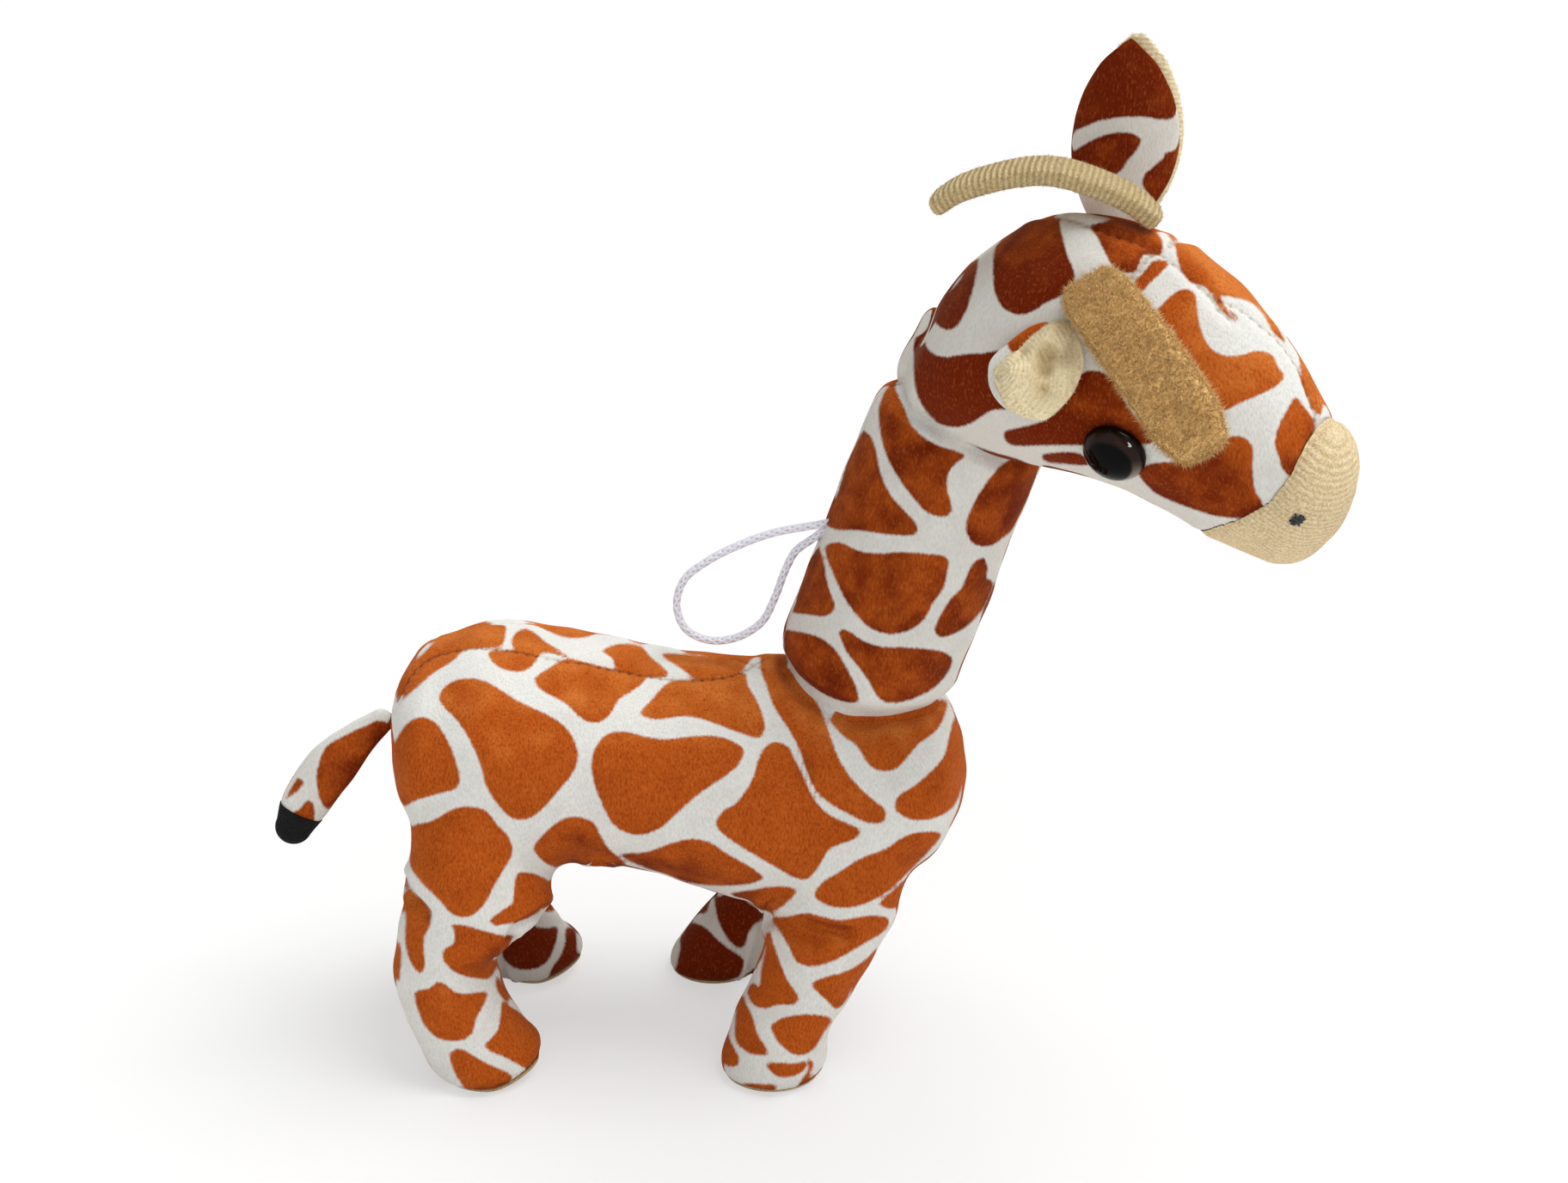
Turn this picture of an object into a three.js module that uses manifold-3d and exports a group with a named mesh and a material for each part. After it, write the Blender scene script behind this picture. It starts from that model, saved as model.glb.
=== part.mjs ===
import * as THREE from 'three';
import { mergeVertices } from 'three/addons/utils/BufferGeometryUtils.js';
import Module from 'manifold-3d';

// Plush giraffe, standing on its four feet with its head turned to its right.
// Millimetres, +Z up, the body along +X, the giraffe's left side towards +Y.
// The near side is its right side, towards -Y, and the far side its left.

const wasm = await Module();
wasm.setup();

// Cloth, seams and clearances
const CLOTH = 1.5;
const KNIT = 1.8;
const SEAM_GAP = 0.3;
const JOINT_GAP = 0.5;
const OVERRUN = 6;

// Torso, from rump to chest
const TORSO_LENGTH = 147;
const TORSO_HEIGHT = 61;
const TORSO_WIDTH = 62;
const RUMP_DOME = 14;
const CHEST_DOME = 19;
const GUSSET_WIDTH = 26;

// Legs, from the centre of the hip's ball to the sole
const LEG_LENGTH = 70;
const FRONT_HIP_DROP = 8;
const HIP_RADIUS = 14;
const HIP_SPREAD = 36;
const LEG_WIDTH = 28;
const FOOT_SPREAD = 50;
const FOOT_LENGTH = 29;
const SOLE = 1.4;
const NEAR_HIND_STRIDE = 1.5;
const FAR_HIND_STRIDE = 7;
const NEAR_FRONT_STRIDE = -17;
const FAR_FRONT_STRIDE = -34;

// Neck, from the ball in the shoulders to the ball in the head
const NECK_LENGTH = 80;
const NECK_BASE_WIDTH = 45;
const NECK_TOP_WIDTH = 43;
const NECK_LEAN = 20.5;
const NECK_BOW = 1.2;

// Head, from the back of the skull to the muzzle
const HEAD_LENGTH = 110;
const HEAD_HEIGHT = 61;
const HEAD_WIDTH = 54;
const SKULL_DOME = 6;
const MUZZLE_DOME = 10;
const HEAD_TURN = -35;
const HEAD_NOD = 17;
const HEAD_TILT = 12;

// Eyes: a clear button over a black pupil, held by a shank and a lock washer
const EYE_DIAMETER = 14;
const EYE_HEIGHT = 4.2;
const EYE_SINK = 0.7;
const PUPIL_DIAMETER = 10;
const PUPIL_THICKNESS = 1;
const SHANK_DIAMETER = 4;
const SHANK_LENGTH = 10;
const WASHER_DIAMETER = 11;
const WASHER_THICKNESS = 1.4;
const WASHER_DEPTH = 4.2;

// Nostril stitches
const NOSTRIL_DIAMETER = 3.2;
const NOSTRIL_THICKNESS = 0.8;

// Ears and horns
const EAR_LENGTH = 41;
const EAR_WIDTH = 26;
const EAR_LAYER = 1.5;
const FOLDED_EAR_LENGTH = 26;
const HORN_LENGTH = 49;
const HORN_WIDTH = 14;
const HORN_THICKNESS = 4.5;

// Tail and its dark tip
const TAIL_LENGTH = 40;
const TAIL_WIDTH = 13;
const TAIL_THICKNESS = 6;
const TAIL_TIP_LENGTH = 10;

// Hanging loop: braided cord, both ends sewn into the back of the neck
const CORD_DIAMETER = 2;
const CORD_STEPS = 36;
const CORD_ROUTE = [
  [35.2, 0, 141.5], [24.2, 0, 139.4], [15.6, 0, 136.2], [7.7, 0, 132], [1.9, 0, 127.2],
  [-0.2, 0, 120.4], [1.9, 0, 114], [7.7, 0, 110.9], [14.7, 0, 111.6], [21.1, 0, 115.8],
  [24.5, 0, 122.6], [27, 0, 129.6], [29.6, 0, 134.6], [34, 0, 138],
];

// How far each joint swings, in degrees: both ends and the rest position
const LEG_SWINGS = [-12, 0, 12];
const NECK_SWINGS = [-5, 0, 10];
const HEAD_SWINGS = [-10, 0, 10];
const HORN_SWINGS = [0, 30];
const EAR_SWINGS = [-20, 0, 20];

// Facets
const FORM_SIDES = 20;
const CORE_SIDES = 10;
const LEG_SIDES = 14;
const DOME_STEPS = 3;
const ROUND_SIDES = 16;
const EYE_STEPS = 5;
const FLAP_STEPS = 9;
const FLAP_SIDES = 12;
const CORD_SIDES = 8;

const vector = (x, y, z) => new THREE.Vector3(x, y, z);
const radians = THREE.MathUtils.degToRad;
const FORWARD = vector(1, 0, 0);
const LEFT = vector(0, 1, 0);
const UP = vector(0, 0, 1);
const DOWN = vector(0, 0, -1);

// Materials

const fabric = (color) => new THREE.MeshStandardMaterial({ color, roughness: 0.95, metalness: 0 });
const plastic = (color) => new THREE.MeshStandardMaterial({ color, roughness: 0.12, metalness: 0 });
const PRINT_CLOTH = fabric(0xc0601f);
const GUSSET_CLOTH = fabric(0xb5561c);
const TAN_CLOTH = fabric(0xcdb280);
const KNIT_CLOTH = fabric(0xc9a968);
const STUFFING = fabric(0xf4f2ec);
const BLACK_FELT = fabric(0x16130f);
const CORD_BRAID = fabric(0xe9e8f2);
const CLEAR_PLASTIC = plastic(0x3a2a20);
const BLACK_PLASTIC = plastic(0x050505);
const WHITE_PLASTIC = plastic(0xe8e8e8);
const THREAD = fabric(0x3a3733);

// Solids: closed geometry in and out of the boolean library

function solid(geometry) {
  const bare = geometry.clone();
  bare.deleteAttribute('normal');
  bare.deleteAttribute('uv');
  const merged = mergeVertices(bare);
  return new wasm.Manifold(new wasm.Mesh({
    numProp: 3,
    vertProperties: Float32Array.from(merged.attributes.position.array),
    triVerts: Uint32Array.from(merged.index.array),
  }));
}

function geometryOf(shape) {
  const mesh = shape.getMesh();
  const geometry = new THREE.BufferGeometry();
  geometry.setAttribute('position', new THREE.BufferAttribute(mesh.vertProperties, 3));
  geometry.setIndex(new THREE.BufferAttribute(mesh.triVerts, 1));
  geometry.computeVertexNormals();
  return geometry;
}

function block(low, high) {
  const size = high.clone().sub(low);
  const middle = low.clone().add(high).multiplyScalar(0.5);
  return solid(new THREE.BoxGeometry(size.x, size.y, size.z).translate(middle.x, middle.y, middle.z));
}

// A turned solid stands on its own +Z axis. Its profile is a list of [radius, height].
function turned(profile) {
  const points = profile.map(([radius, height]) => new THREE.Vector2(radius, height));
  return new THREE.LatheGeometry(points, ROUND_SIDES).rotateX(Math.PI / 2);
}

const disc = (radius, low, high) => turned([[0, low], [radius, low], [radius, high], [0, high]]);

const facing = (direction) => new THREE.Quaternion().setFromUnitVectors(UP, direction);

const seated = (geometry, seat) => geometry.clone()
  .applyQuaternion(facing(seat.normal))
  .translate(seat.point.x, seat.point.y, seat.point.z);

function mesh(name, shape, material) {
  const geometry = shape.isBufferGeometry ? shape : geometryOf(shape);
  const made = new THREE.Mesh(geometry, material);
  made.name = name;
  return made;
}

// A stuffed form: elliptical rings strung along a curve, each end domed, or flat where its dome is 0.
// A ring is { at, up, side }: its centre and half sizes. Angles run from the left side over the top.

class StuffedForm {
  constructor(rings, { startDome = 0, endDome = 0, ahead = null, steps = 12, sides = FORM_SIDES }) {
    this.centres = new THREE.CatmullRomCurve3(rings.map((ring) => ring.at));
    this.sizes = new THREE.CatmullRomCurve3(rings.map((ring) => vector(ring.up, ring.side, 0)));
    Object.assign(this, { startDome, endDome, ahead, steps, sides });
  }

  frame(t) {
    const centre = this.centres.getPoint(t);
    const ahead = this.ahead ? this.ahead.clone() : this.centres.getTangent(t);
    const side = LEFT.clone().addScaledVector(ahead, -ahead.y).normalize();
    const up = ahead.clone().cross(side);
    const size = this.sizes.getPoint(t);
    return { centre, ahead, side, up, halfUp: size.x, halfSide: size.y };
  }

  // A point on the surface. t runs from 0 to 1 along the curve, over the start dome from -1 to 0
  // and over the end dome from 1 to 2.
  pointAt(t, degrees) {
    const { centre, ahead, side, up, halfUp, halfSide } = this.frame(THREE.MathUtils.clamp(t, 0, 1));
    const angle = radians(degrees);
    const over = Math.PI / 2 * (t < 0 ? t : Math.max(t - 1, 0));
    return centre
      .addScaledVector(ahead, Math.sin(over) * (t < 0 ? this.startDome : this.endDome))
      .addScaledVector(side, halfSide * Math.cos(over) * Math.cos(angle))
      .addScaledVector(up, halfUp * Math.cos(over) * Math.sin(angle));
  }

  // A place on the surface: the point there and the direction straight out of it.
  seatAt(t, degrees) {
    const stepShare = 0.01;
    const along = this.pointAt(t + stepShare, degrees).sub(this.pointAt(t - stepShare, degrees));
    const round = this.pointAt(t, degrees + 1).sub(this.pointAt(t, degrees - 1));
    return { point: this.pointAt(t, degrees), normal: round.cross(along).normalize() };
  }

  startPole() {
    const { centre, ahead } = this.frame(0);
    return { point: centre.addScaledVector(ahead, -this.startDome), normal: ahead.negate() };
  }

  geometry(grow = 0, sides = this.sides) {
    const { steps } = this;
    const points = [];
    const faces = [];
    const addRing = ({ centre, ahead, side, up, halfUp, halfSide }, scale, shift) => {
      for (let i = 0; i < sides; i++) {
        const angle = (2 * Math.PI * i) / sides;
        points.push(centre.clone()
          .addScaledVector(ahead, shift)
          .addScaledVector(side, (halfSide + grow) * scale * Math.cos(angle))
          .addScaledVector(up, (halfUp + grow) * scale * Math.sin(angle)));
      }
    };
    const first = this.frame(0);
    const last = this.frame(1);
    const startReach = this.startDome ? this.startDome + grow : 0;
    const endReach = this.endDome ? this.endDome + grow : 0;
    points.push(first.centre.clone().addScaledVector(first.ahead, -startReach));
    for (let i = DOME_STEPS - 1; i > 0 && this.startDome; i--) {
      const angle = (Math.PI / 2) * (i / DOME_STEPS);
      addRing(first, Math.cos(angle), -startReach * Math.sin(angle));
    }
    for (let i = 0; i <= steps; i++) addRing(this.frame(i / steps), 1, 0);
    for (let i = 1; i < DOME_STEPS && this.endDome; i++) {
      const angle = (Math.PI / 2) * (i / DOME_STEPS);
      addRing(last, Math.cos(angle), endReach * Math.sin(angle));
    }
    points.push(last.centre.clone().addScaledVector(last.ahead, endReach));
    const rings = (points.length - 2) / sides;
    const index = (ring, i) => 1 + ring * sides + (i % sides);
    for (let i = 0; i < sides; i++) {
      faces.push(0, index(0, i + 1), index(0, i));
      for (let ring = 0; ring + 1 < rings; ring++) {
        faces.push(index(ring, i), index(ring, i + 1), index(ring + 1, i + 1));
        faces.push(index(ring, i), index(ring + 1, i + 1), index(ring + 1, i));
      }
      faces.push(points.length - 1, index(rings - 1, i), index(rings - 1, i + 1));
    }
    return new THREE.BufferGeometry().setFromPoints(points).setIndex(faces);
  }

  outer() {
    return solid(this.geometry());
  }

  cover(thickness) {
    return this.outer().subtract(solid(this.geometry(-thickness, CORE_SIDES)));
  }

  core(thickness) {
    return solid(this.geometry(-thickness - SEAM_GAP, CORE_SIDES));
  }
}

function swung(shape, pivot, axis, degrees) {
  const matrix = new THREE.Matrix4().makeTranslation(pivot)
    .multiply(new THREE.Matrix4().makeRotationAxis(axis, radians(degrees)))
    .multiply(new THREE.Matrix4().makeTranslation(pivot.clone().negate()));
  return shape.transform(matrix.elements);
}

// What is left of a cover when it makes room for a form at rest and at both ends of its swing.
function coverClearOf(shape, { form, pivot, swings }) {
  const room = solid(form.geometry(JOINT_GAP));
  return swings.reduce((rest, degrees) => rest.subtract(swung(room, pivot, LEFT, degrees)), shape);
}

// The same for a stuffing, which gives way further and needs no rest position.
function stuffingClearOf(shape, { form, pivot, swings }) {
  const room = solid(form.geometry(JOINT_GAP + CLOTH, CORE_SIDES));
  const ends = [Math.min(...swings), Math.max(...swings)];
  return ends.reduce((rest, degrees) => rest.subtract(swung(room, pivot, LEFT, degrees)), shape);
}

// Torso: two side panels and a gusset along the back, round one stuffing

// Each row: place along the torso, centre height above the hips, half height, half width.
const TORSO_SHARES = [
  [-0.405, 0.215, 0.45, 0.45],
  [-0.303, 0.215, 0.5, 0.5],
  [-0.127, 0.17, 0.48, 0.475],
  [0.049, 0.09, 0.48, 0.47],
  [0.225, 0.07, 0.49, 0.5],
  [0.37, 0.09, 0.445, 0.465],
];
const torsoPlace = (along, across, rise) => vector(
  TORSO_LENGTH * along, TORSO_WIDTH * across, LEG_LENGTH + TORSO_HEIGHT * rise,
);
const torso = new StuffedForm(
  TORSO_SHARES.map(([along, rise, high, wide]) => ({
    at: torsoPlace(along, 0, rise), up: TORSO_HEIGHT * high, side: TORSO_WIDTH * wide,
  })),
  { startDome: RUMP_DOME, endDome: CHEST_DOME, ahead: FORWARD, steps: 10 },
);

// Neck: a tapering tube with a ball at each end
const NECK_BALL_SHARE = 0.86;
const NECK_SHARES = [[0.12, 1, 0], [0.3, 1, 0], [0.55, 0.5, 0.6], [0.78, 0.25, 1], [0.9, 0, 0.8]];
const neckPivot = torsoPlace(0.305, 0, 0.46);
const neckAhead = vector(Math.sin(radians(NECK_LEAN)), 0, Math.cos(radians(NECK_LEAN)));
const neckBack = vector(-neckAhead.z, 0, neckAhead.x);
const headPivot = neckPivot.clone().addScaledVector(neckAhead, NECK_LENGTH);
const neckBaseBall = NECK_BALL_SHARE * NECK_BASE_WIDTH / 2;
const neckTopBall = NECK_BALL_SHARE * NECK_TOP_WIDTH / 2;
const neck = new StuffedForm([
  { at: neckPivot, up: neckBaseBall, side: neckBaseBall },
  ...NECK_SHARES.map(([along, base, bow]) => {
    const half = (NECK_BASE_WIDTH * base + NECK_TOP_WIDTH * (1 - base)) / 2;
    const at = neckPivot.clone().addScaledVector(neckAhead, NECK_LENGTH * along);
    return { at: at.addScaledVector(neckBack, NECK_BOW * bow), up: half, side: half };
  }),
  { at: headPivot, up: neckTopBall, side: neckTopBall },
], { startDome: neckBaseBall, endDome: neckTopBall, ahead: neckAhead, steps: 7 });

// Legs: each a ball in the hip, a bent shank and a foot pointing forward

// Each row: place down the leg, bow forward, half depth and half width of the ring.
const HIND_SHARES = [
  [0.14, -0.01, 0.25, 0.52], [0.31, -0.01, 0.264, 0.52], [0.54, -0.145, 0.186, 0.47],
  [0.73, -0.11, 0.193, 0.45], [0.9, -0.04, 0.21, 0.45], [1, 0, 0.2, 0.44],
];
const FRONT_SHARES = [
  [0.14, 0.03, 0.27, 0.52], [0.27, 0.045, 0.27, 0.51], [0.45, 0.045, 0.238, 0.47],
  [0.6, 0.02, 0.214, 0.45], [0.78, -0.02, 0.215, 0.44], [1, 0, 0.215, 0.44],
];
const HIND_HIP_SHARE = -0.345;
const FRONT_HIP_SHARE = 0.275;
const LEGS = [
  ['near_hind', -1, HIND_HIP_SHARE, 0, HIND_SHARES, NEAR_HIND_STRIDE],
  ['far_hind', 1, HIND_HIP_SHARE, 0, HIND_SHARES, FAR_HIND_STRIDE],
  ['near_front', -1, FRONT_HIP_SHARE, FRONT_HIP_DROP, FRONT_SHARES, NEAR_FRONT_STRIDE],
  ['far_front', 1, FRONT_HIP_SHARE, FRONT_HIP_DROP, FRONT_SHARES, FAR_FRONT_STRIDE],
].map(([name, side, hipShare, drop, shares, stride]) => {
  const hip = vector(TORSO_LENGTH * hipShare, side * HIP_SPREAD / 2, LEG_LENGTH - drop);
  const length = hip.z;
  const rings = shares.map(([down, bow, deep, wide]) => ({
    at: vector(
      hip.x + stride * down + length * bow,
      side * THREE.MathUtils.lerp(HIP_SPREAD, FOOT_SPREAD, down) / 2,
      length * (1 - down),
    ),
    up: length * deep,
    side: LEG_WIDTH * wide,
  }));
  const sole = rings.at(-1);
  sole.up = FOOT_LENGTH / 2;
  const form = new StuffedForm(
    [{ at: hip, up: HIP_RADIUS, side: HIP_RADIUS }, ...rings],
    { startDome: HIP_RADIUS, ahead: DOWN, steps: 8, sides: LEG_SIDES },
  );
  return { name, hip, form };
});

// The gusset seen from above: pointed at the rump, widest in the middle, and ending under the neck.
const GUSSET_FLOOR_SHARE = 0.2;
function gussetPrism(grow) {
  const half = GUSSET_WIDTH / 2 + grow;
  const tip = TORSO_LENGTH / 2;
  const outline = new THREE.Shape();
  outline.moveTo(-tip - grow, 0);
  outline.quadraticCurveTo(-tip, -half, 0, -half);
  outline.quadraticCurveTo(tip, -half, tip + grow, 0);
  outline.quadraticCurveTo(tip, half, 0, half);
  outline.quadraticCurveTo(-tip, half, -tip - grow, 0);
  const upright = { depth: TORSO_HEIGHT, bevelEnabled: false, curveSegments: 8 };
  const prism = new THREE.ExtrudeGeometry(outline, upright);
  const behindNeck = block(vector(-TORSO_LENGTH, -half, 0), vector(neckPivot.x + grow, half, TORSO_LENGTH));
  return solid(prism.translate(0, 0, LEG_LENGTH + TORSO_HEIGHT * GUSSET_FLOOR_SHARE)).intersect(behindNeck);
}

function buildTorso() {
  const limbs = LEGS.map((leg) => ({ form: leg.form, pivot: leg.hip, swings: LEG_SWINGS }));
  limbs.push({ form: neck, pivot: neckPivot, swings: NECK_SWINGS });
  const shell = limbs.reduce(coverClearOf, torso.cover(CLOTH));
  const sides = shell.subtract(gussetPrism(SEAM_GAP / 2));
  const reach = TORSO_LENGTH + OVERRUN;
  const near = block(vector(-reach, -reach, 0), vector(reach, -SEAM_GAP / 2, reach));
  const far = block(vector(-reach, SEAM_GAP / 2, 0), vector(reach, reach, reach));
  return [
    mesh('torso_near_panel', sides.intersect(near), PRINT_CLOTH),
    mesh('torso_far_panel', sides.intersect(far), PRINT_CLOTH),
    mesh('back_gusset', shell.intersect(gussetPrism(-SEAM_GAP / 2)), GUSSET_CLOTH),
    mesh('torso_stuffing', limbs.reduce(stuffingClearOf, torso.core(CLOTH)), STUFFING),
  ];
}

// Head: two side panels joined down the middle and a knitted muzzle, in the head's own frame.
// Its origin is the centre of the neck's upper ball, its +X points to the nose.

// Each row: place along the head, height of the centre, half height, half width.
const HEAD_SHARES = [
  [-0.13, 0.12, 0.2, 0.22],
  [-0.06, 0.2, 0.4, 0.38],
  [0.05, 0.335, 0.5, 0.46],
  [0.16, 0.415, 0.515, 0.49],
  [0.286, 0.455, 0.478, 0.485],
  [0.446, 0.445, 0.428, 0.435],
  [0.6, 0.365, 0.37, 0.365],
  [0.73, 0.27, 0.275, 0.28],
];
const MUZZLE_SEAM_SHARE = 0.63;
const head = new StuffedForm(
  HEAD_SHARES.map(([along, rise, high, wide]) => ({
    at: vector(HEAD_LENGTH * along, 0, HEAD_HEIGHT * rise),
    up: HEAD_HEIGHT * high,
    side: HEAD_WIDTH * wide,
  })),
  { startDome: SKULL_DOME, endDome: MUZZLE_DOME, ahead: FORWARD, steps: 11 },
);
const headTurn = new THREE.Quaternion().setFromEuler(
  new THREE.Euler(radians(HEAD_TILT), radians(HEAD_NOD), radians(HEAD_TURN), 'ZYX'),
);
const headMatrix = new THREE.Matrix4().compose(headPivot, headTurn, vector(1, 1, 1));
const neckInHead = {
  form: {
    geometry: (...grown) => neck.geometry(...grown).applyMatrix4(headMatrix.clone().invert()),
  },
  pivot: vector(0, 0, 0),
  swings: HEAD_SWINGS,
};

// Seats on the head: place along it and angle round it. The near side mirrors the far one.
const EYE_SEAT = [0.69, -16.5];
const NOSTRIL_SEAT = [1.3, 8];
const seatOnHead = ([t, degrees], side) => head.seatAt(t, side > 0 ? degrees : 180 - degrees);

function eyeBores(seat) {
  const deep = -SHANK_LENGTH - OVERRUN;
  const washerFace = -WASHER_DEPTH + SEAM_GAP;
  const washerBack = -WASHER_DEPTH - WASHER_THICKNESS - SEAM_GAP;
  return {
    dimple: solid(seated(disc(EYE_DIAMETER / 2 + SEAM_GAP, -EYE_SINK, OVERRUN), seat)),
    shank: solid(seated(disc(SHANK_DIAMETER / 2 + SEAM_GAP, deep, OVERRUN), seat)),
    washer: solid(seated(disc(WASHER_DIAMETER / 2 + SEAM_GAP, washerBack, washerFace), seat)),
  };
}

const EYE_BASE = -EYE_SINK + SEAM_GAP;
const PUPIL_TOP = EYE_BASE + PUPIL_THICKNESS;

function lensGeometry() {
  const radius = EYE_DIAMETER / 2;
  const recess = PUPIL_DIAMETER / 2 + SEAM_GAP;
  const ceiling = PUPIL_TOP + SEAM_GAP;
  const profile = [[0, ceiling], [recess, ceiling], [recess, EYE_BASE], [radius, EYE_BASE]];
  for (let i = 0; i < EYE_STEPS; i++) {
    const angle = (Math.PI / 2) * (i / EYE_STEPS);
    profile.push([radius * Math.cos(angle), PUPIL_TOP + EYE_HEIGHT * Math.sin(angle)]);
  }
  profile.push([0, PUPIL_TOP + EYE_HEIGHT]);
  return turned(profile);
}

// The pupil's shank ends in a blunt point, which helps the washer on.
const SHANK_POINT_SHARES = { radius: 0.8, start: 0.9 };
function pupilGeometry() {
  const radius = SHANK_DIAMETER / 2;
  const end = EYE_BASE - SHANK_LENGTH;
  return turned([
    [0, end], [radius * SHANK_POINT_SHARES.radius, end],
    [radius, EYE_BASE - SHANK_LENGTH * SHANK_POINT_SHARES.start], [radius, EYE_BASE],
    [PUPIL_DIAMETER / 2, EYE_BASE], [PUPIL_DIAMETER / 2, PUPIL_TOP], [0, PUPIL_TOP],
  ]);
}

function washerGeometry() {
  const inner = SHANK_DIAMETER / 2 + SEAM_GAP;
  const outer = WASHER_DIAMETER / 2;
  const low = -WASHER_DEPTH - WASHER_THICKNESS;
  return turned([[inner, low], [outer, low], [outer, -WASHER_DEPTH], [inner, -WASHER_DEPTH], [inner, low]]);
}

function buildEye(label, seat) {
  const parts = [
    mesh(label + '_eye_lens', lensGeometry(), CLEAR_PLASTIC),
    mesh(label + '_eye_pupil_and_shank', pupilGeometry(), BLACK_PLASTIC),
    mesh(label + '_eye_lock_washer', washerGeometry(), WHITE_PLASTIC),
  ];
  for (const part of parts) {
    part.position.copy(seat.point);
    part.quaternion.copy(facing(seat.normal));
  }
  return parts;
}

// A frame whose +X runs along a flap and whose +Z is its face, at a root lifted off its seat.
function flapMatrix(seat, lift, along, face) {
  const x = along.clone().normalize();
  const z = face.clone().addScaledVector(x, -face.dot(x)).normalize();
  const root = seat.point.clone().addScaledVector(seat.normal, lift);
  return new THREE.Matrix4().makeBasis(x, z.clone().cross(x), z).setPosition(root);
}

// A place and direction on an arc that starts along +X and turns by an angle towards +Z.
function arc(length, turn, share) {
  const angle = turn * share;
  const radius = length / turn;
  return { x: radius * Math.sin(angle), z: radius * (1 - Math.cos(angle)), angle };
}

// Horn: a flat knitted band
const HORN_RING_SHARES = [[0, 0.8], [0.12, 0.95], [0.5, 1], [0.88, 1], [1, 0.86]];
function hornGeometry(turn) {
  const rings = HORN_RING_SHARES.map(([share, wide]) => {
    const { x, z } = arc(HORN_LENGTH, turn, share);
    return { at: vector(x, 0, z), up: HORN_THICKNESS / 2, side: HORN_WIDTH * wide / 2 };
  });
  const dome = HORN_THICKNESS / 2;
  const ends = { startDome: dome, endDome: dome, steps: FLAP_STEPS, sides: FLAP_SIDES };
  return new StuffedForm(rings, ends).geometry();
}

// Ear: an outer layer of printed cloth and a tan lining, cupped across and bent along
const EAR_OUTLINE_SHARES = [0.36, 0.66, 0.9, 1, 0.95, 0.78, 0.5, 0.14];
function earLayer({ length, cup, turn }, low, high) {
  const rows = EAR_OUTLINE_SHARES.length - 1;
  const columns = 6;
  const place = (row, column) => {
    const { x, z, angle } = arc(length, turn, row / rows);
    const half = EAR_WIDTH * EAR_OUTLINE_SHARES[row] / 2;
    const radius = EAR_WIDTH / 2 / cup;
    const across = (column / columns * 2 - 1) * half / radius;
    const normal = vector(
      -Math.sin(angle) * Math.cos(across), -Math.sin(across), Math.cos(angle) * Math.cos(across),
    );
    const rise = radius * (1 - Math.cos(across));
    const point = vector(x - Math.sin(angle) * rise, radius * Math.sin(across), z + Math.cos(angle) * rise);
    return { point, normal };
  };
  const points = [];
  for (const offset of [low, high]) {
    for (let row = 0; row <= rows; row++) {
      for (let column = 0; column <= columns; column++) {
        const { point, normal } = place(row, column);
        points.push(point.addScaledVector(normal, offset));
      }
    }
  }
  const stride = columns + 1;
  const layer = (rows + 1) * stride;
  const faces = [];
  const quad = (a, b, c, d) => faces.push(a, b, c, a, c, d);
  for (let row = 0; row < rows; row++) {
    for (let column = 0; column < columns; column++) {
      const a = row * stride + column;
      quad(a + layer, a + layer + stride, a + layer + stride + 1, a + layer + 1);
      quad(a, a + 1, a + stride + 1, a + stride);
    }
    const left = row * stride;
    const right = left + columns;
    quad(left, left + stride, left + stride + layer, left + layer);
    quad(right, right + layer, right + stride + layer, right + stride);
  }
  for (let column = 0; column < columns; column++) {
    const root = column;
    const tip = rows * stride + column;
    quad(root, root + layer, root + layer + 1, root + 1);
    quad(tip, tip + 1, tip + layer + 1, tip + layer);
  }
  return new THREE.BufferGeometry().setFromPoints(points).setIndex(faces);
}

// What is left of a flap when it swings about its root with the head kept clear.
function clearOfHead(geometry, matrix, swings) {
  const pivot = vector(0, 0, 0).applyMatrix4(matrix);
  const axis = LEFT.clone().transformDirection(matrix);
  const obstacle = solid(head.geometry(SEAM_GAP));
  return swings.reduce(
    (rest, degrees) => rest.subtract(swung(obstacle, pivot, axis, -degrees)),
    solid(geometry.clone().applyMatrix4(matrix)),
  );
}

const HORN_POSES = [
  {
    label: 'far', side: 1, seat: [0.54, 79], turn: radians(78),
    along: vector(-0.8, -0.24, 0.48), face: vector(-0.34, -0.36, -0.87),
  },
  {
    label: 'near', side: -1, seat: [0.55, 48], turn: radians(36),
    along: vector(0.74, -0.66, 0.12), face: vector(0.27, 0.51, -0.82),
  },
];
const EAR_POSES = [
  {
    label: 'far', side: 1, seat: [0.395, 40], length: EAR_LENGTH, cup: 0.9, turn: radians(12),
    along: vector(-0.24, 0.12, 0.95), face: vector(-0.24, 0.93, -0.27),
  },
  {
    label: 'near', side: -1, seat: [0.57, 14], length: FOLDED_EAR_LENGTH, cup: 1.6, turn: radians(50),
    along: vector(-0.32, -0.93, -0.18), face: vector(0.39, -0.48, 0.79),
  },
];

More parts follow.
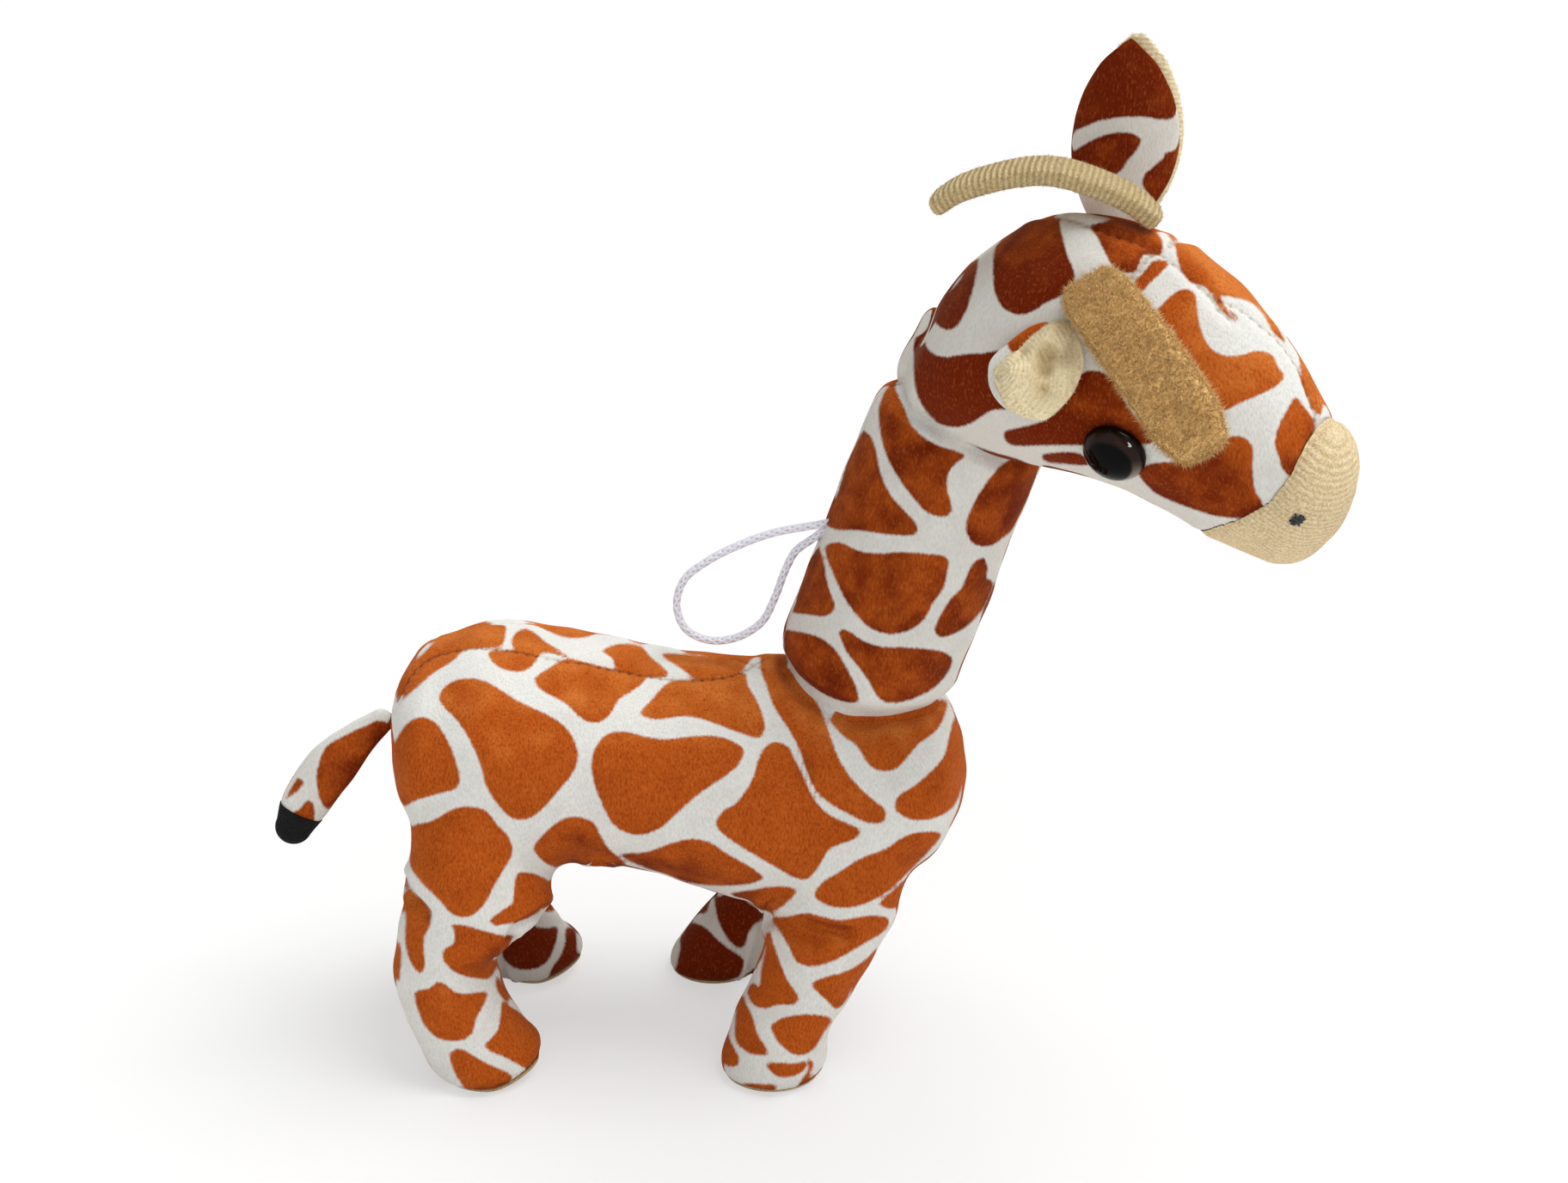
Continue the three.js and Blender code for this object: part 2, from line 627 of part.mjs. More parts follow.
function buildHead() {
  const eyeSeats = [1, -1].map((side) => seatOnHead(EYE_SEAT, side));
  const bores = eyeSeats.map(eyeBores);
  const cut = (shape, names) => bores.reduce((rest, bore) => (
    names.reduce((left, name) => left.subtract(bore[name]), rest)
  ), shape);
  const shell = cut(coverClearOf(head.cover(CLOTH), neckInHead), ['dimple', 'shank']);
  const knit = head.cover(KNIT);
  const seam = HEAD_LENGTH * MUZZLE_SEAM_SHARE;
  const far = HEAD_LENGTH * 2;
  const half = SEAM_GAP / 2;
  const nearSide = block(vector(-far, -far, -far), vector(seam - half, -half, far));
  const farSide = block(vector(-far, half, -far), vector(seam - half, far, far));
  const front = block(vector(seam + half, -far, -far), vector(far, far, far));
  const core = cut(stuffingClearOf(head.core(KNIT), neckInHead), ['shank', 'washer']);
  const parts = [
    mesh('head_near_panel', shell.intersect(nearSide), PRINT_CLOTH),
    mesh('head_far_panel', shell.intersect(farSide), PRINT_CLOTH),
    mesh('muzzle_cover', knit.intersect(front), KNIT_CLOTH),
    mesh('head_stuffing', core, STUFFING),
    ...buildEye('far', eyeSeats[0]),
    ...buildEye('near', eyeSeats[1]),
  ];
  const stitch = disc(NOSTRIL_DIAMETER / 2, SEAM_GAP, SEAM_GAP + NOSTRIL_THICKNESS);
  for (const [label, side] of [['far', 1], ['near', -1]]) {
    parts.push(mesh(label + '_nostril_stitch', seated(stitch, seatOnHead(NOSTRIL_SEAT, side)), THREAD));
  }
  for (const pose of HORN_POSES) {
    const matrix = flapMatrix(seatOnHead(pose.seat, pose.side), HORN_THICKNESS / 2, pose.along, pose.face);
    const horn = clearOfHead(hornGeometry(pose.turn), matrix, HORN_SWINGS);
    parts.push(mesh(pose.label + '_horn', horn, KNIT_CLOTH));
  }
  for (const pose of EAR_POSES) {
    const matrix = flapMatrix(seatOnHead(pose.seat, pose.side), EAR_LAYER / 2, pose.along, pose.face);
    const lining = earLayer(pose, half, half + EAR_LAYER);
    const outer = earLayer(pose, -half - EAR_LAYER, -half);
    parts.push(mesh(pose.label + '_ear_lining', clearOfHead(lining, matrix, EAR_SWINGS), TAN_CLOTH));
    parts.push(mesh(pose.label + '_ear_outer', clearOfHead(outer, matrix, EAR_SWINGS), PRINT_CLOTH));
  }
  const group = new THREE.Group();
  group.add(...parts);
  group.applyMatrix4(headMatrix);
  return group;
}

// Legs: a printed cover open at the sole, the stuffing in it and the sole

function buildLeg({ name, hip, form }) {
  const reach = vector(TORSO_LENGTH, TORSO_LENGTH, LEG_LENGTH * 2);
  const above = block(vector(-reach.x, -reach.y, SOLE + SEAM_GAP), reach);
  const below = block(reach.clone().negate(), vector(reach.x, reach.y, SOLE));
  const parts = [
    mesh(name + '_leg_cover', form.cover(CLOTH).intersect(above), PRINT_CLOTH),
    mesh(name + '_leg_stuffing', form.core(CLOTH).intersect(above), STUFFING),
    mesh(name + '_sole', form.outer().intersect(below), TAN_CLOTH),
  ];
  const group = new THREE.Group();
  group.position.copy(hip);
  for (const part of parts) part.geometry.translate(-hip.x, -hip.y, -hip.z);
  group.add(...parts);
  return group;
}

// Neck: a cover open inside the shoulders, where its hem is tucked in, and the stuffing in it

function buildNeck() {
  const bottom = neck.startPole();
  const mouth = solid(seated(disc(neckBaseBall / 2, -neckBaseBall / 2, OVERRUN), bottom));
  return [
    mesh('neck_cover', neck.cover(CLOTH).subtract(mouth), PRINT_CLOTH),
    mesh('neck_stuffing', neck.core(CLOTH), STUFFING),
  ];
}

// Tail: a flat printed tube, curved back and down, with a felt tip

// Each row: place along the tail, width there. It starts sloping down and curls further.
const TAIL_RING_SHARES = [[0, 0.5], [0.2, 0.72], [0.5, 1], [0.8, 0.95], [1, 0.7]];
const TAIL_SEAT = [-0.88, 90];
const TAIL_SLOPE = radians(36);
const TAIL_TURN = radians(28);

function tailForm() {
  const rings = TAIL_RING_SHARES.map(([share, wide]) => {
    const { x, z } = arc(TAIL_LENGTH, TAIL_TURN, share);
    return { at: vector(x, 0, z), up: TAIL_WIDTH * wide / 2, side: TAIL_THICKNESS * wide / 2 };
  });
  return new StuffedForm(rings, {
    startDome: rings[0].up, endDome: TAIL_TIP_LENGTH / 2, steps: FLAP_STEPS, sides: LEG_SIDES,
  });
}

function buildTail() {
  const form = tailForm();
  const along = vector(-Math.cos(TAIL_SLOPE), 0, -Math.sin(TAIL_SLOPE));
  const face = vector(Math.sin(TAIL_SLOPE), 0, -Math.cos(TAIL_SLOPE));
  const tipStart = arc(TAIL_LENGTH, TAIL_TURN, 1 - TAIL_TIP_LENGTH / 2 / TAIL_LENGTH);
  const cut = new THREE.Matrix4().makeRotationY(-tipStart.angle).setPosition(tipStart.x, 0, tipStart.z);
  const far = TAIL_LENGTH * 2;
  const tip = block(vector(SEAM_GAP / 2, -far, -far), vector(far, far, far)).transform(cut.elements);
  const root = block(vector(-far, -far, -far), vector(-SEAM_GAP / 2, far, far)).transform(cut.elements);
  const group = new THREE.Group();
  const seat = torso.seatAt(...TAIL_SEAT);
  group.applyMatrix4(flapMatrix(seat, form.startDome + SEAM_GAP, along, face));
  group.add(
    mesh('tail', form.outer().intersect(root), PRINT_CLOTH),
    mesh('tail_tip', form.outer().intersect(tip), BLACK_FELT),
  );
  return group;
}

// Hanging loop

function buildLoop() {
  const section = new THREE.Shape();
  for (let i = 0; i < CORD_SIDES; i++) {
    const angle = (2 * Math.PI * i) / CORD_SIDES;
    const place = [Math.cos(angle), Math.sin(angle)].map((share) => share * CORD_DIAMETER / 2);
    if (i) section.lineTo(...place);
    else section.moveTo(...place);
  }
  section.closePath();
  const path = new THREE.CatmullRomCurve3(CORD_ROUTE.map((point) => vector(...point)));
  const tube = new THREE.ExtrudeGeometry(section, { steps: CORD_STEPS, extrudePath: path });
  return mesh('hanging_loop', tube, CORD_BRAID);
}

const giraffe = new THREE.Group();
giraffe.add(...buildTorso(), ...buildNeck(), buildHead(), buildTail(), ...LEGS.map(buildLeg));

// The origin: on the floor, in the middle of the giraffe's box.
const middle = new THREE.Box3().setFromObject(giraffe, true).getCenter(vector(0, 0, 0));
giraffe.position.set(-middle.x, -middle.y, 0);
giraffe.add(buildLoop());

export default giraffe;
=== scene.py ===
import math

import bmesh
import bpy
import numpy as np
from mathutils import Matrix, Vector
from mathutils.bvhtree import BVHTree
from mathutils.kdtree import KDTree


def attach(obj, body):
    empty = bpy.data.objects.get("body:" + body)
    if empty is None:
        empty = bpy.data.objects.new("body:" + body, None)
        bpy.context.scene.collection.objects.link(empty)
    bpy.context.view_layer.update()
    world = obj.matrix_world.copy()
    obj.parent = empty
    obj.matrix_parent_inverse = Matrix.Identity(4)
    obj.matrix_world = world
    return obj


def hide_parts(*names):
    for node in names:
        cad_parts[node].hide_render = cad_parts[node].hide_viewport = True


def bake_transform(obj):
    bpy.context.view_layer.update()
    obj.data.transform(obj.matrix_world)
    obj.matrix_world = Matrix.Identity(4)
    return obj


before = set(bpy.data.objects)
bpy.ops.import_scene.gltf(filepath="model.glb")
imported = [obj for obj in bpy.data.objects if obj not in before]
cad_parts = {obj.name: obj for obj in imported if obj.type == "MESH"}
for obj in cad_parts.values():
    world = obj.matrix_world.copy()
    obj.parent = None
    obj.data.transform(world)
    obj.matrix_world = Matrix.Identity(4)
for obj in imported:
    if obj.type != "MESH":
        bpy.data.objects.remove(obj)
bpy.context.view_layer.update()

# The plush giraffe's looks. Lengths are millimetres in the part's own frame until a mesh is made.
MM = 0.001
ORIGIN = np.array([-22.1016, 26.0238, 0.0])
random = np.random.default_rng(7)

# Cloth and dimensions, as in the part
SEAM_GAP = 0.3
TORSO_LENGTH, TORSO_HEIGHT, TORSO_WIDTH = 147, 61, 62
RUMP_DOME, CHEST_DOME = 14, 19
LEG_LENGTH, FRONT_HIP_DROP, HIP_RADIUS, HIP_SPREAD = 70, 8, 14, 36
LEG_WIDTH, FOOT_SPREAD, FOOT_LENGTH = 28, 50, 29
NECK_LENGTH, NECK_BASE_WIDTH, NECK_TOP_WIDTH, NECK_LEAN, NECK_BOW = 80, 45, 43, 20.5, 1.2
HEAD_LENGTH, HEAD_HEIGHT, HEAD_WIDTH = 110, 61, 54
SKULL_DOME, MUZZLE_DOME = 6, 10
HEAD_TURN, HEAD_NOD, HEAD_TILT = -35, 17, 12
EYE_DIAMETER, EYE_HEIGHT, PUPIL_TOP = 14, 4.2, 0.6
EAR_LENGTH, EAR_WIDTH, EAR_LAYER = 41, 26, 1.5
HORN_LENGTH, HORN_WIDTH, HORN_THICKNESS = 49, 14, 4.5
TAIL_LENGTH, TAIL_WIDTH, TAIL_THICKNESS, TAIL_TIP_LENGTH = 40, 13, 6, 10
CORD_DIAMETER = 2
STITCH_PITCH = 2.6

# Camera: the photograph's frame, fitted to the toy
IMAGE_WIDTH, IMAGE_HEIGHT = 1824, 1376
FOCAL_PIXELS = 2000
CAMERA_AT = np.array([4.598, -377.976, 271.0])
CAMERA_PITCH = math.radians(20)


def add_object(name, data):
    made = bpy.data.objects.new(name, data)
    bpy.context.scene.collection.objects.link(made)
    return made


def make_camera():
    data = bpy.data.cameras.new("camera")
    data.sensor_width = 36
    data.lens = FOCAL_PIXELS / IMAGE_WIDTH * data.sensor_width
    data.clip_start, data.clip_end = 0.01, 200
    camera = add_object("camera", data)
    camera.location = Vector(CAMERA_AT * MM)
    camera.rotation_euler = (math.pi / 2 - CAMERA_PITCH, 0, 0)
    bpy.context.scene.camera = camera


def to_pixel(points):
    x, y, z = (np.atleast_2d(points) - CAMERA_AT).T
    depth = y * math.cos(CAMERA_PITCH) - z * math.sin(CAMERA_PITCH)
    up = y * math.sin(CAMERA_PITCH) + z * math.cos(CAMERA_PITCH)
    middle = np.array([[IMAGE_WIDTH], [IMAGE_HEIGHT]]) / 2
    return (middle + FOCAL_PIXELS * np.stack([x, -up]) / depth).T


def pixel_ray(pixel):
    right = (pixel[0] - IMAGE_WIDTH / 2) / FOCAL_PIXELS
    up = (IMAGE_HEIGHT / 2 - pixel[1]) / FOCAL_PIXELS
    c, s = math.cos(CAMERA_PITCH), math.sin(CAMERA_PITCH)
    return Vector((right, c + up * s, -s + up * c)).normalized()


make_camera()


# Meshes: vertices and faces as arrays, in millimetres


def new_object(name, vertices, faces, layers=()):
    mesh = bpy.data.meshes.new(name)
    mesh.from_pydata((np.asarray(vertices) * MM).tolist(), [], [tuple(map(int, f)) for f in faces])
    for label, values in dict(layers).items():
        values = np.asarray(values, np.float32)
        kind = "FLOAT_VECTOR" if values.ndim == 2 else "FLOAT"
        layer = mesh.attributes.new(label, kind, "POINT")
        layer.data.foreach_set("vector" if values.ndim == 2 else "value", values.ravel())
    mesh.shade_smooth()
    mesh.update()
    return add_object(name, mesh)


def arrays(mesh):
    vertices = np.zeros(len(mesh.vertices) * 3, np.float32)
    mesh.vertices.foreach_get("co", vertices)
    return vertices.reshape(-1, 3).astype(float) / MM, [tuple(p.vertices) for p in mesh.polygons]


def edges_of(faces):
    pairs = set()
    for face in faces:
        for a, b in zip(face, face[1:] + face[:1]):
            pairs.add((a, b) if a < b else (b, a))
    return np.array(sorted(pairs))


def normals_of(vertices, faces):
    normals = np.zeros_like(vertices)
    for size in {len(f) for f in faces}:
        index = np.array([f for f in faces if len(f) == size])
        corners = vertices[index]
        if size == 3:
            face_normal = np.cross(corners[:, 1] - corners[:, 0], corners[:, 2] - corners[:, 0])
        else:
            face_normal = np.cross(corners[:, 2] - corners[:, 0], corners[:, -1] - corners[:, 1])
        for k in range(size):
            np.add.at(normals, index[:, k], face_normal)
    return normals / np.maximum(np.linalg.norm(normals, axis=1), 1e-9)[:, None]


def relaxed(values, edges, weights, rounds):
    values = np.array(values, float)
    flat = values.reshape(len(values), -1)
    a, b = edges.T
    count = np.bincount(a, minlength=len(values)) + np.bincount(b, minlength=len(values))
    count = np.maximum(count, 1)
    for _ in range(rounds):
        for k in range(flat.shape[1]):
            column = flat[:, k]
            total = np.bincount(a, column[b], len(values)) + np.bincount(b, column[a], len(values))
            flat[:, k] = column + weights * (total / count - column)
    return flat.reshape(values.shape)


def joined(*parts):
    vertices, faces, start = [], [], 0
    for v, f in parts:
        vertices.append(v)
        faces.extend(tuple(i + start for i in face) for face in f)
        start += len(v)
    return np.vstack(vertices), faces


def ring_faces(rows, sides, closed=True):
    """Quads between rings of vertices, and a cap on each end ring."""
    faces = []
    for i in range(rows - 1):
        for j in range(sides):
            k = (j + 1) % sides
            faces.append((i * sides + j, i * sides + k, (i + 1) * sides + k, (i + 1) * sides + j))
    faces.append(tuple(reversed(range(sides))))
    if closed:
        faces.append(tuple((rows - 1) * sides + j for j in range(sides)))
    return faces


def poled_faces(rows, sides):
    """The same where the first and the last vertex are poles, with fans to them."""
    faces, end = [], rows * sides + 1
    for j in range(sides):
        k = (j + 1) % sides
        faces.append((0, 1 + k, 1 + j))
        faces.append((end, end - sides + j, end - sides + k))
        for i in range(rows - 1):
            a, b = 1 + i * sides, 1 + (i + 1) * sides
            faces.append((a + j, a + k, b + k, b + j))
    return faces


def flipped(faces):
    return [face[::-1] for face in faces]


def part_of(vertices, layers, chosen):
    """Some faces of a skin, with only the vertices that they use."""
    used = sorted({i for face in chosen for i in face})
    renumber = {old: new for new, old in enumerate(used)}
    faces = [tuple(renumber[i] for i in face) for face in chosen]
    return vertices[used], faces, {label: np.asarray(values)[used] for label, values in layers.items()}


def remeshed(vertices, faces, voxel):
    made = new_object("remesh", vertices, faces)
    modifier = made.modifiers.new("voxels", "REMESH")
    modifier.mode = "VOXEL"
    modifier.voxel_size = voxel * MM
    bpy.context.view_layer.update()
    evaluated = made.evaluated_get(bpy.context.evaluated_depsgraph_get())
    result = arrays(evaluated.to_mesh())
    evaluated.to_mesh_clear()
    bpy.data.objects.remove(made)
    return result


def tree_of(vertices, faces):
    return BVHTree.FromPolygons(vertices.tolist(), faces)


def nearest_distance(tree, points):
    return np.array([tree.find_nearest(Vector(p))[3] for p in points])


def step(low, high, x):
    t = np.clip((x - low) / (high - low), 0, 1)
    return t * t * (3 - 2 * t)


def spline(points, t):
    points = np.asarray(points, float)
    last = len(points) - 1
    p = np.clip(np.asarray(t, float), 0, 1) * last
    i = np.minimum(p.astype(int), last - 1)
    w = (p - i)[..., None]
    padded = np.vstack([2 * points[0] - points[1], points, 2 * points[-1] - points[-2]])
    p0, p1, p2, p3 = (padded[i + k] for k in range(4))
    pairs = (p0, p1), (p1, p2), (p2, p3)
    d0, d1, d2 = (np.maximum(((b - a) ** 2).sum(-1, keepdims=True) ** 0.25, 1e-4) for a, b in pairs)
    t1 = ((p1 - p0) / d0 - (p2 - p0) / (d0 + d1) + (p2 - p1) / d1) * d1
    t2 = ((p2 - p1) / d1 - (p3 - p1) / (d1 + d2) + (p3 - p2) / d2) * d1
    return p1 + w * t1 + w**2 * (-3 * p1 + 3 * p2 - 2 * t1 - t2) + w**3 * (2 * p1 - 2 * p2 + t1 + t2)


def unit(v):
    v = np.asarray(v, float)
    return v / np.linalg.norm(v, axis=-1, keepdims=True)


# Materials


def colour(code):
    channels = [int(code[i : i + 2], 16) / 255 for i in (0, 2, 4)]
    return tuple(c / 12.92 if c <= 0.04045 else ((c + 0.055) / 1.055) ** 2.4 for c in channels) + (1,)


class Nodes:
    """The node tree of a material or a world, with short calls for the nodes used here."""

    def __init__(self, owner):
        self.owner = owner
        owner.use_nodes = True
        self.tree = owner.node_tree
        self.shader = self.tree.nodes.get("Principled BSDF")

    def node(self, kind, inputs=(), **settings):
        made = self.tree.nodes.new(kind)
        for key, value in settings.items():
            setattr(made, key, value)
        for key, value in dict(inputs).items():
            self.put(made.inputs[key], value)
        return made

    def put(self, socket, value):
        if hasattr(value, "is_output"):
            self.tree.links.new(value, socket)
        else:
            socket.default_value = value

    def set(self, **values):
        for key, value in values.items():
            self.put(self.shader.inputs[key.replace("_", " ")], value)

    def attribute(self, name):
        return self.node("ShaderNodeAttribute", attribute_name=name).outputs["Fac"]

    def math(self, operation, *values):
        made = self.node("ShaderNodeMath", operation=operation)
        for socket, value in zip(made.inputs, values):
            self.put(socket, value)
        return made.outputs[0]

    def ramp(self, value, low, high):
        inputs = {"Value": value, "From Min": low, "From Max": high}
        return self.node("ShaderNodeMapRange", inputs, interpolation_type="SMOOTHSTEP").outputs["Result"]

    def mix(self, share, a, b):
        inputs = {0: share, 6: a, 7: b}
        return self.node("ShaderNodeMix", inputs, data_type="RGBA").outputs[2]

    def place(self, stretch=(1, 1, 1)):
        at = self.node("ShaderNodeTexCoord").outputs["Object"]
        return self.node("ShaderNodeMapping", {"Vector": at, "Scale": stretch}).outputs["Vector"]

    def noise(self, size, detail=2.0, at=None, roughness=0.5):
        inputs = {"Vector": at or self.place(), "Scale": 1 / (size * MM)}
        inputs |= {"Detail": detail, "Roughness": roughness}
        return self.node("ShaderNodeTexNoise", inputs).outputs["Fac"]

    def bump(self, height, distance, strength):
        inputs = {"Height": height, "Distance": distance * MM, "Strength": strength}
        return self.node("ShaderNodeBump", inputs).outputs["Normal"]


def plush():
    """Short-pile printed plush with light and shade painted into its colour: a per-vertex attribute is 0
    where the cloth is painted lighter, as if lit, and 1 where it is painted darker, as if in shade.
    """
    m = Nodes(bpy.data.materials.new("print_plush"))
    lay = m.place((1, 1, 0.4))
    fibre = m.noise(0.45, 3, lay, 0.6)
    tuft = m.noise(1.3, 2, lay)
    brushed = m.noise(7, 2)
    ragged = m.math("SUBTRACT", m.noise(0.7, 3, lay, 0.65), 0.5)
    edge = m.math("MULTIPLY_ADD", ragged, 0.8, m.attribute("print"))
    nap = m.math("MULTIPLY_ADD", m.math("SUBTRACT", brushed, 0.5), 0.7, m.attribute("nap"))
    # Painted light and shade: a lit copy of the rust (DA7C36), a middle one (BC571A) and a shaded copy
    # (6E2006), picked by the painted-shade attribute and a large random blotch
    rust = m.mix(m.ramp(nap, 0.0, 0.5), colour("DA7C36"), colour("BC571A"))
    rust = m.mix(m.ramp(nap, 0.5, 1.0), rust, colour("6E2006"))
    rust = m.mix(m.math("MULTIPLY", m.ramp(fibre, 0.55, 0.28), 0.5), rust, colour("6A2406"))
    rust = m.mix(m.math("MULTIPLY", m.ramp(fibre, 0.5, 0.75), 0.22), rust, colour("E08B45"))
    pale = m.mix(m.ramp(fibre, 0.3, 0.65), colour("E2E1DA"), colour("F2F2EE"))
    # Painted shade: the white is painted greyer (C6BFB2) where the attribute paints shade
    pale = m.mix(m.math("MULTIPLY", m.ramp(nap, 0.1, 1.3), 0.5), pale, colour("C6BFB2"))
    patch = m.ramp(edge, -0.4, 0.4)
    cloth = m.mix(patch, pale, rust)
    thread = m.mix(patch, colour("A08A70"), colour("521E08"))
    cloth = m.mix(m.math("MULTIPLY", m.ramp(m.attribute("seam"), 0.9, 0.1), 0.45), cloth, thread)
    turn = m.math("SINE", m.math("MULTIPLY", m.attribute("place"), 2 * math.pi / STITCH_PITCH))
    stitch = m.math("MULTIPLY", m.ramp(turn, 0.3, 0.9), m.ramp(m.attribute("seam"), 0.9, 0.4))
    cloth = m.mix(m.math("MULTIPLY", stitch, 0.4), cloth, thread)
    height = m.math("ADD", m.math("MULTIPLY", fibre, 0.6), m.math("MULTIPLY", tuft, 0.4))
    m.set(Base_Color=cloth, Roughness=0.95, Specular_IOR_Level=0.02, Normal=m.bump(height, 0.6, 0.55))
    m.set(Sheen_Weight=0.1, Sheen_Roughness=0.4, Sheen_Tint=(1.0, 0.72, 0.5, 1))
    return m.owner


def knit(name, rib_size, base, light, dark, fuzz=0.6, rib_depth=0.5):
    """Ribbed or brushed tan cloth. The attribute ribs runs across the ribs, in millimetres."""
    m = Nodes(bpy.data.materials.new(name))
    fibre = m.noise(0.5, 3, roughness=0.6)
    tuft = m.noise(1.5, 2)
    across = m.math("MULTIPLY_ADD", m.math("SUBTRACT", tuft, 0.5), 0.5 * fuzz, m.attribute("ribs"))
    wave = m.math("SINE", m.math("MULTIPLY", across, 2 * math.pi / rib_size))
    wave = m.math("MULTIPLY_ADD", wave, 0.5, 0.5)
    tone = m.mix(m.ramp(fibre, 0.3, 0.7), colour(dark), colour(light))
    tone = m.mix(0.5, tone, colour(base))
    # Painted shade: the cloth is painted darker down in each rib's trough
    tone = m.mix(m.math("MULTIPLY", m.ramp(wave, 0.5, 0.0), 0.7 * rib_depth), tone, colour(dark))
    height = m.math("ADD", m.math("MULTIPLY", fibre, 0.5), m.math("MULTIPLY", tuft, 0.5 * fuzz))
    height = m.math("ADD", m.math("MULTIPLY", wave, rib_depth), height)
    m.set(Base_Color=tone, Roughness=0.95, Specular_IOR_Level=0.05, Normal=m.bump(height, 0.7, 0.85))
    m.set(Sheen_Weight=0.15, Sheen_Roughness=0.5, Sheen_Tint=(1.0, 0.93, 0.78, 1))
    return m.owner


def braid(name):
    m = Nodes(bpy.data.materials.new(name))
    strand = m.attribute("strand")
    # Painted shade: the cord is painted darker down between its strands
    tone = m.mix(m.ramp(strand, 0.0, 0.55), colour("A9A6BB"), colour("F3F2FA"))
    fine = m.noise(0.18, 3)
    tone = m.mix(m.math("MULTIPLY", fine, 0.25), tone, colour("C9C7D8"))
    m.set(Base_Color=tone, Roughness=0.6, Sheen_Weight=0.2, Specular_IOR_Level=0.4)
    height = m.math("ADD", m.math("MULTIPLY", strand, 0.8), m.math("MULTIPLY", fine, 0.3))
    m.set(Normal=m.bump(height, 0.2, 0.6))
    return m.owner


def felt(name, dark, light):
    m = Nodes(bpy.data.materials.new(name))
    fine = m.noise(0.5, 4, roughness=0.7)
    tone = m.mix(m.ramp(fine, 0.3, 0.75), colour(dark), colour(light))
    m.set(Base_Color=tone, Roughness=0.95, Sheen_Weight=0.05)
    m.set(Normal=m.bump(m.math("ADD", fine, m.noise(1.3)), 0.5, 0.8), Specular_IOR_Level=0.1)
    return m.owner


def eye_glass():
    """A clear button over a black pupil: its rim is painted with the cloth behind it, painted darker at the
    top as in the lid's shade and lighter towards the floor as painted light.
    """
    m = Nodes(bpy.data.materials.new("eye_glass"))
    rim, low = m.attribute("rim"), m.attribute("low")
    haze = m.noise(2.5, 2)
    # Painted light and shade: the rim is painted dark at the top and lighter towards the floor
    ring = m.mix(m.ramp(low, -0.2, 0.9), colour("2A1E1A"), colour("B8A594"))
    ring = m.mix(m.math("MULTIPLY", haze, 0.3), ring, colour("3A2119"))
    ring = m.mix(m.ramp(rim, 0.93, 1.0), ring, colour("140C09"))
    tone = m.mix(m.ramp(rim, 0.7, 0.82), colour("010102"), ring)
    m.set(Base_Color=tone, Specular_IOR_Level=0.09, IOR=1.45)
    m.set(Roughness=m.math("MULTIPLY_ADD", haze, 0.04, 0.03))
    return m.owner


def plastic(name, dark, light):
    m = Nodes(bpy.data.materials.new(name))
    haze = m.noise(3, 2)
    m.set(Base_Color=m.mix(haze, colour(dark), colour(light)))
    m.set(Roughness=m.math("MULTIPLY_ADD", haze, 0.2, 0.2))
    return m.owner


PLUSH = plush()
MUZZLE_KNIT = knit("muzzle_knit", 1.0, "F2DCAE", "FFF1CE", "B28A50", 0.6, 0.35)
FAR_HORN_KNIT = knit("ribbed_knit", 1.3, "E2C993", "F3E3BA", "9C7C46", 0.4, 0.8)
NEAR_HORN_KNIT = knit("brushed_knit", 1.9, "FFD081", "FFEAB2", "CA8E42", 1.6, 0.3)
LINING = knit("ear_lining", 1.0, "FFF1C8", "FFF9DC", "E8C88C", 1.1, 0.3)
SOLE_CLOTH = felt("sole_cloth", "B58F5E", "E6CD9F")
FELT = felt("black_felt", "090909", "1B1B1D")
THREAD = felt("thread", "17181A", "5C5E60")
CORD = braid("braided_cord")
EYE = eye_glass()
BLACK = plastic("pupil_plastic", "050505", "0B0B0C")
WHITE = plastic("washer_plastic", "DCDCDC", "EFEFEF")


def piece(name, shape, layers, material, body, replaced=()):
    """One piece of the scene: which body it rides and which nodes it stands for."""
    made = new_object(name, *shape, layers)
    made.data.materials.append(material)
    if isinstance(body, str):
        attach(made, body)
    if replaced:
        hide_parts(*replaced)
    return made


def pile(shape, layers, count, length, lean, width=0.13):
    """Loose fibres rooted all over a piece, each one a thin closed spike, joined to its mesh."""
    vertices, faces = shape
    corners = np.array([(*f[:3], f[3] if len(f) == 4 else f[2]) for f in faces if len(f) < 5])
    across, down = (vertices[corners[:, k]] - vertices[corners[:, 0]] for k in (1, 3))
    area = np.linalg.norm(np.cross(across, down), axis=1)
    chosen = corners[random.choice(len(corners), count, p=area / area.sum())]
    u, v = random.random((2, count, 1))
    a, b, c, d = (vertices[chosen[:, k]] for k in range(4))
    root = (1 - v) * ((1 - u) * a + u * b) + v * ((1 - u) * d + u * c)
    along = unit(normals_of(vertices, faces)[chosen[:, 0]] + lean * unit(random.normal(size=(count, 3))))
    side = unit(np.cross(along, random.normal(size=(count, 3)))) * width / 2
    tip = root + along * length * random.uniform(0.4, 1.2, (count, 1))
    third = unit(np.cross(along, side)) * width / 2
    fibres = np.stack([root - side, root + side, root + third, tip], 1).reshape(-1, 3)
    spike = (0, 1, 2), (0, 3, 1), (1, 3, 2), (2, 3, 0)
    sides = [(i + a, i + b, i + c) for i in range(0, 4 * count, 4) for a, b, c in spike]
    taken = chosen[:, 0]
    layers = {key: np.concatenate([value, np.repeat(value[taken], 4)]) for key, value in layers.items()}
    return joined((vertices, faces), (fibres, sides)), layers


# Hanging loop: a braided cord, both ends sewn into the neck's back seam

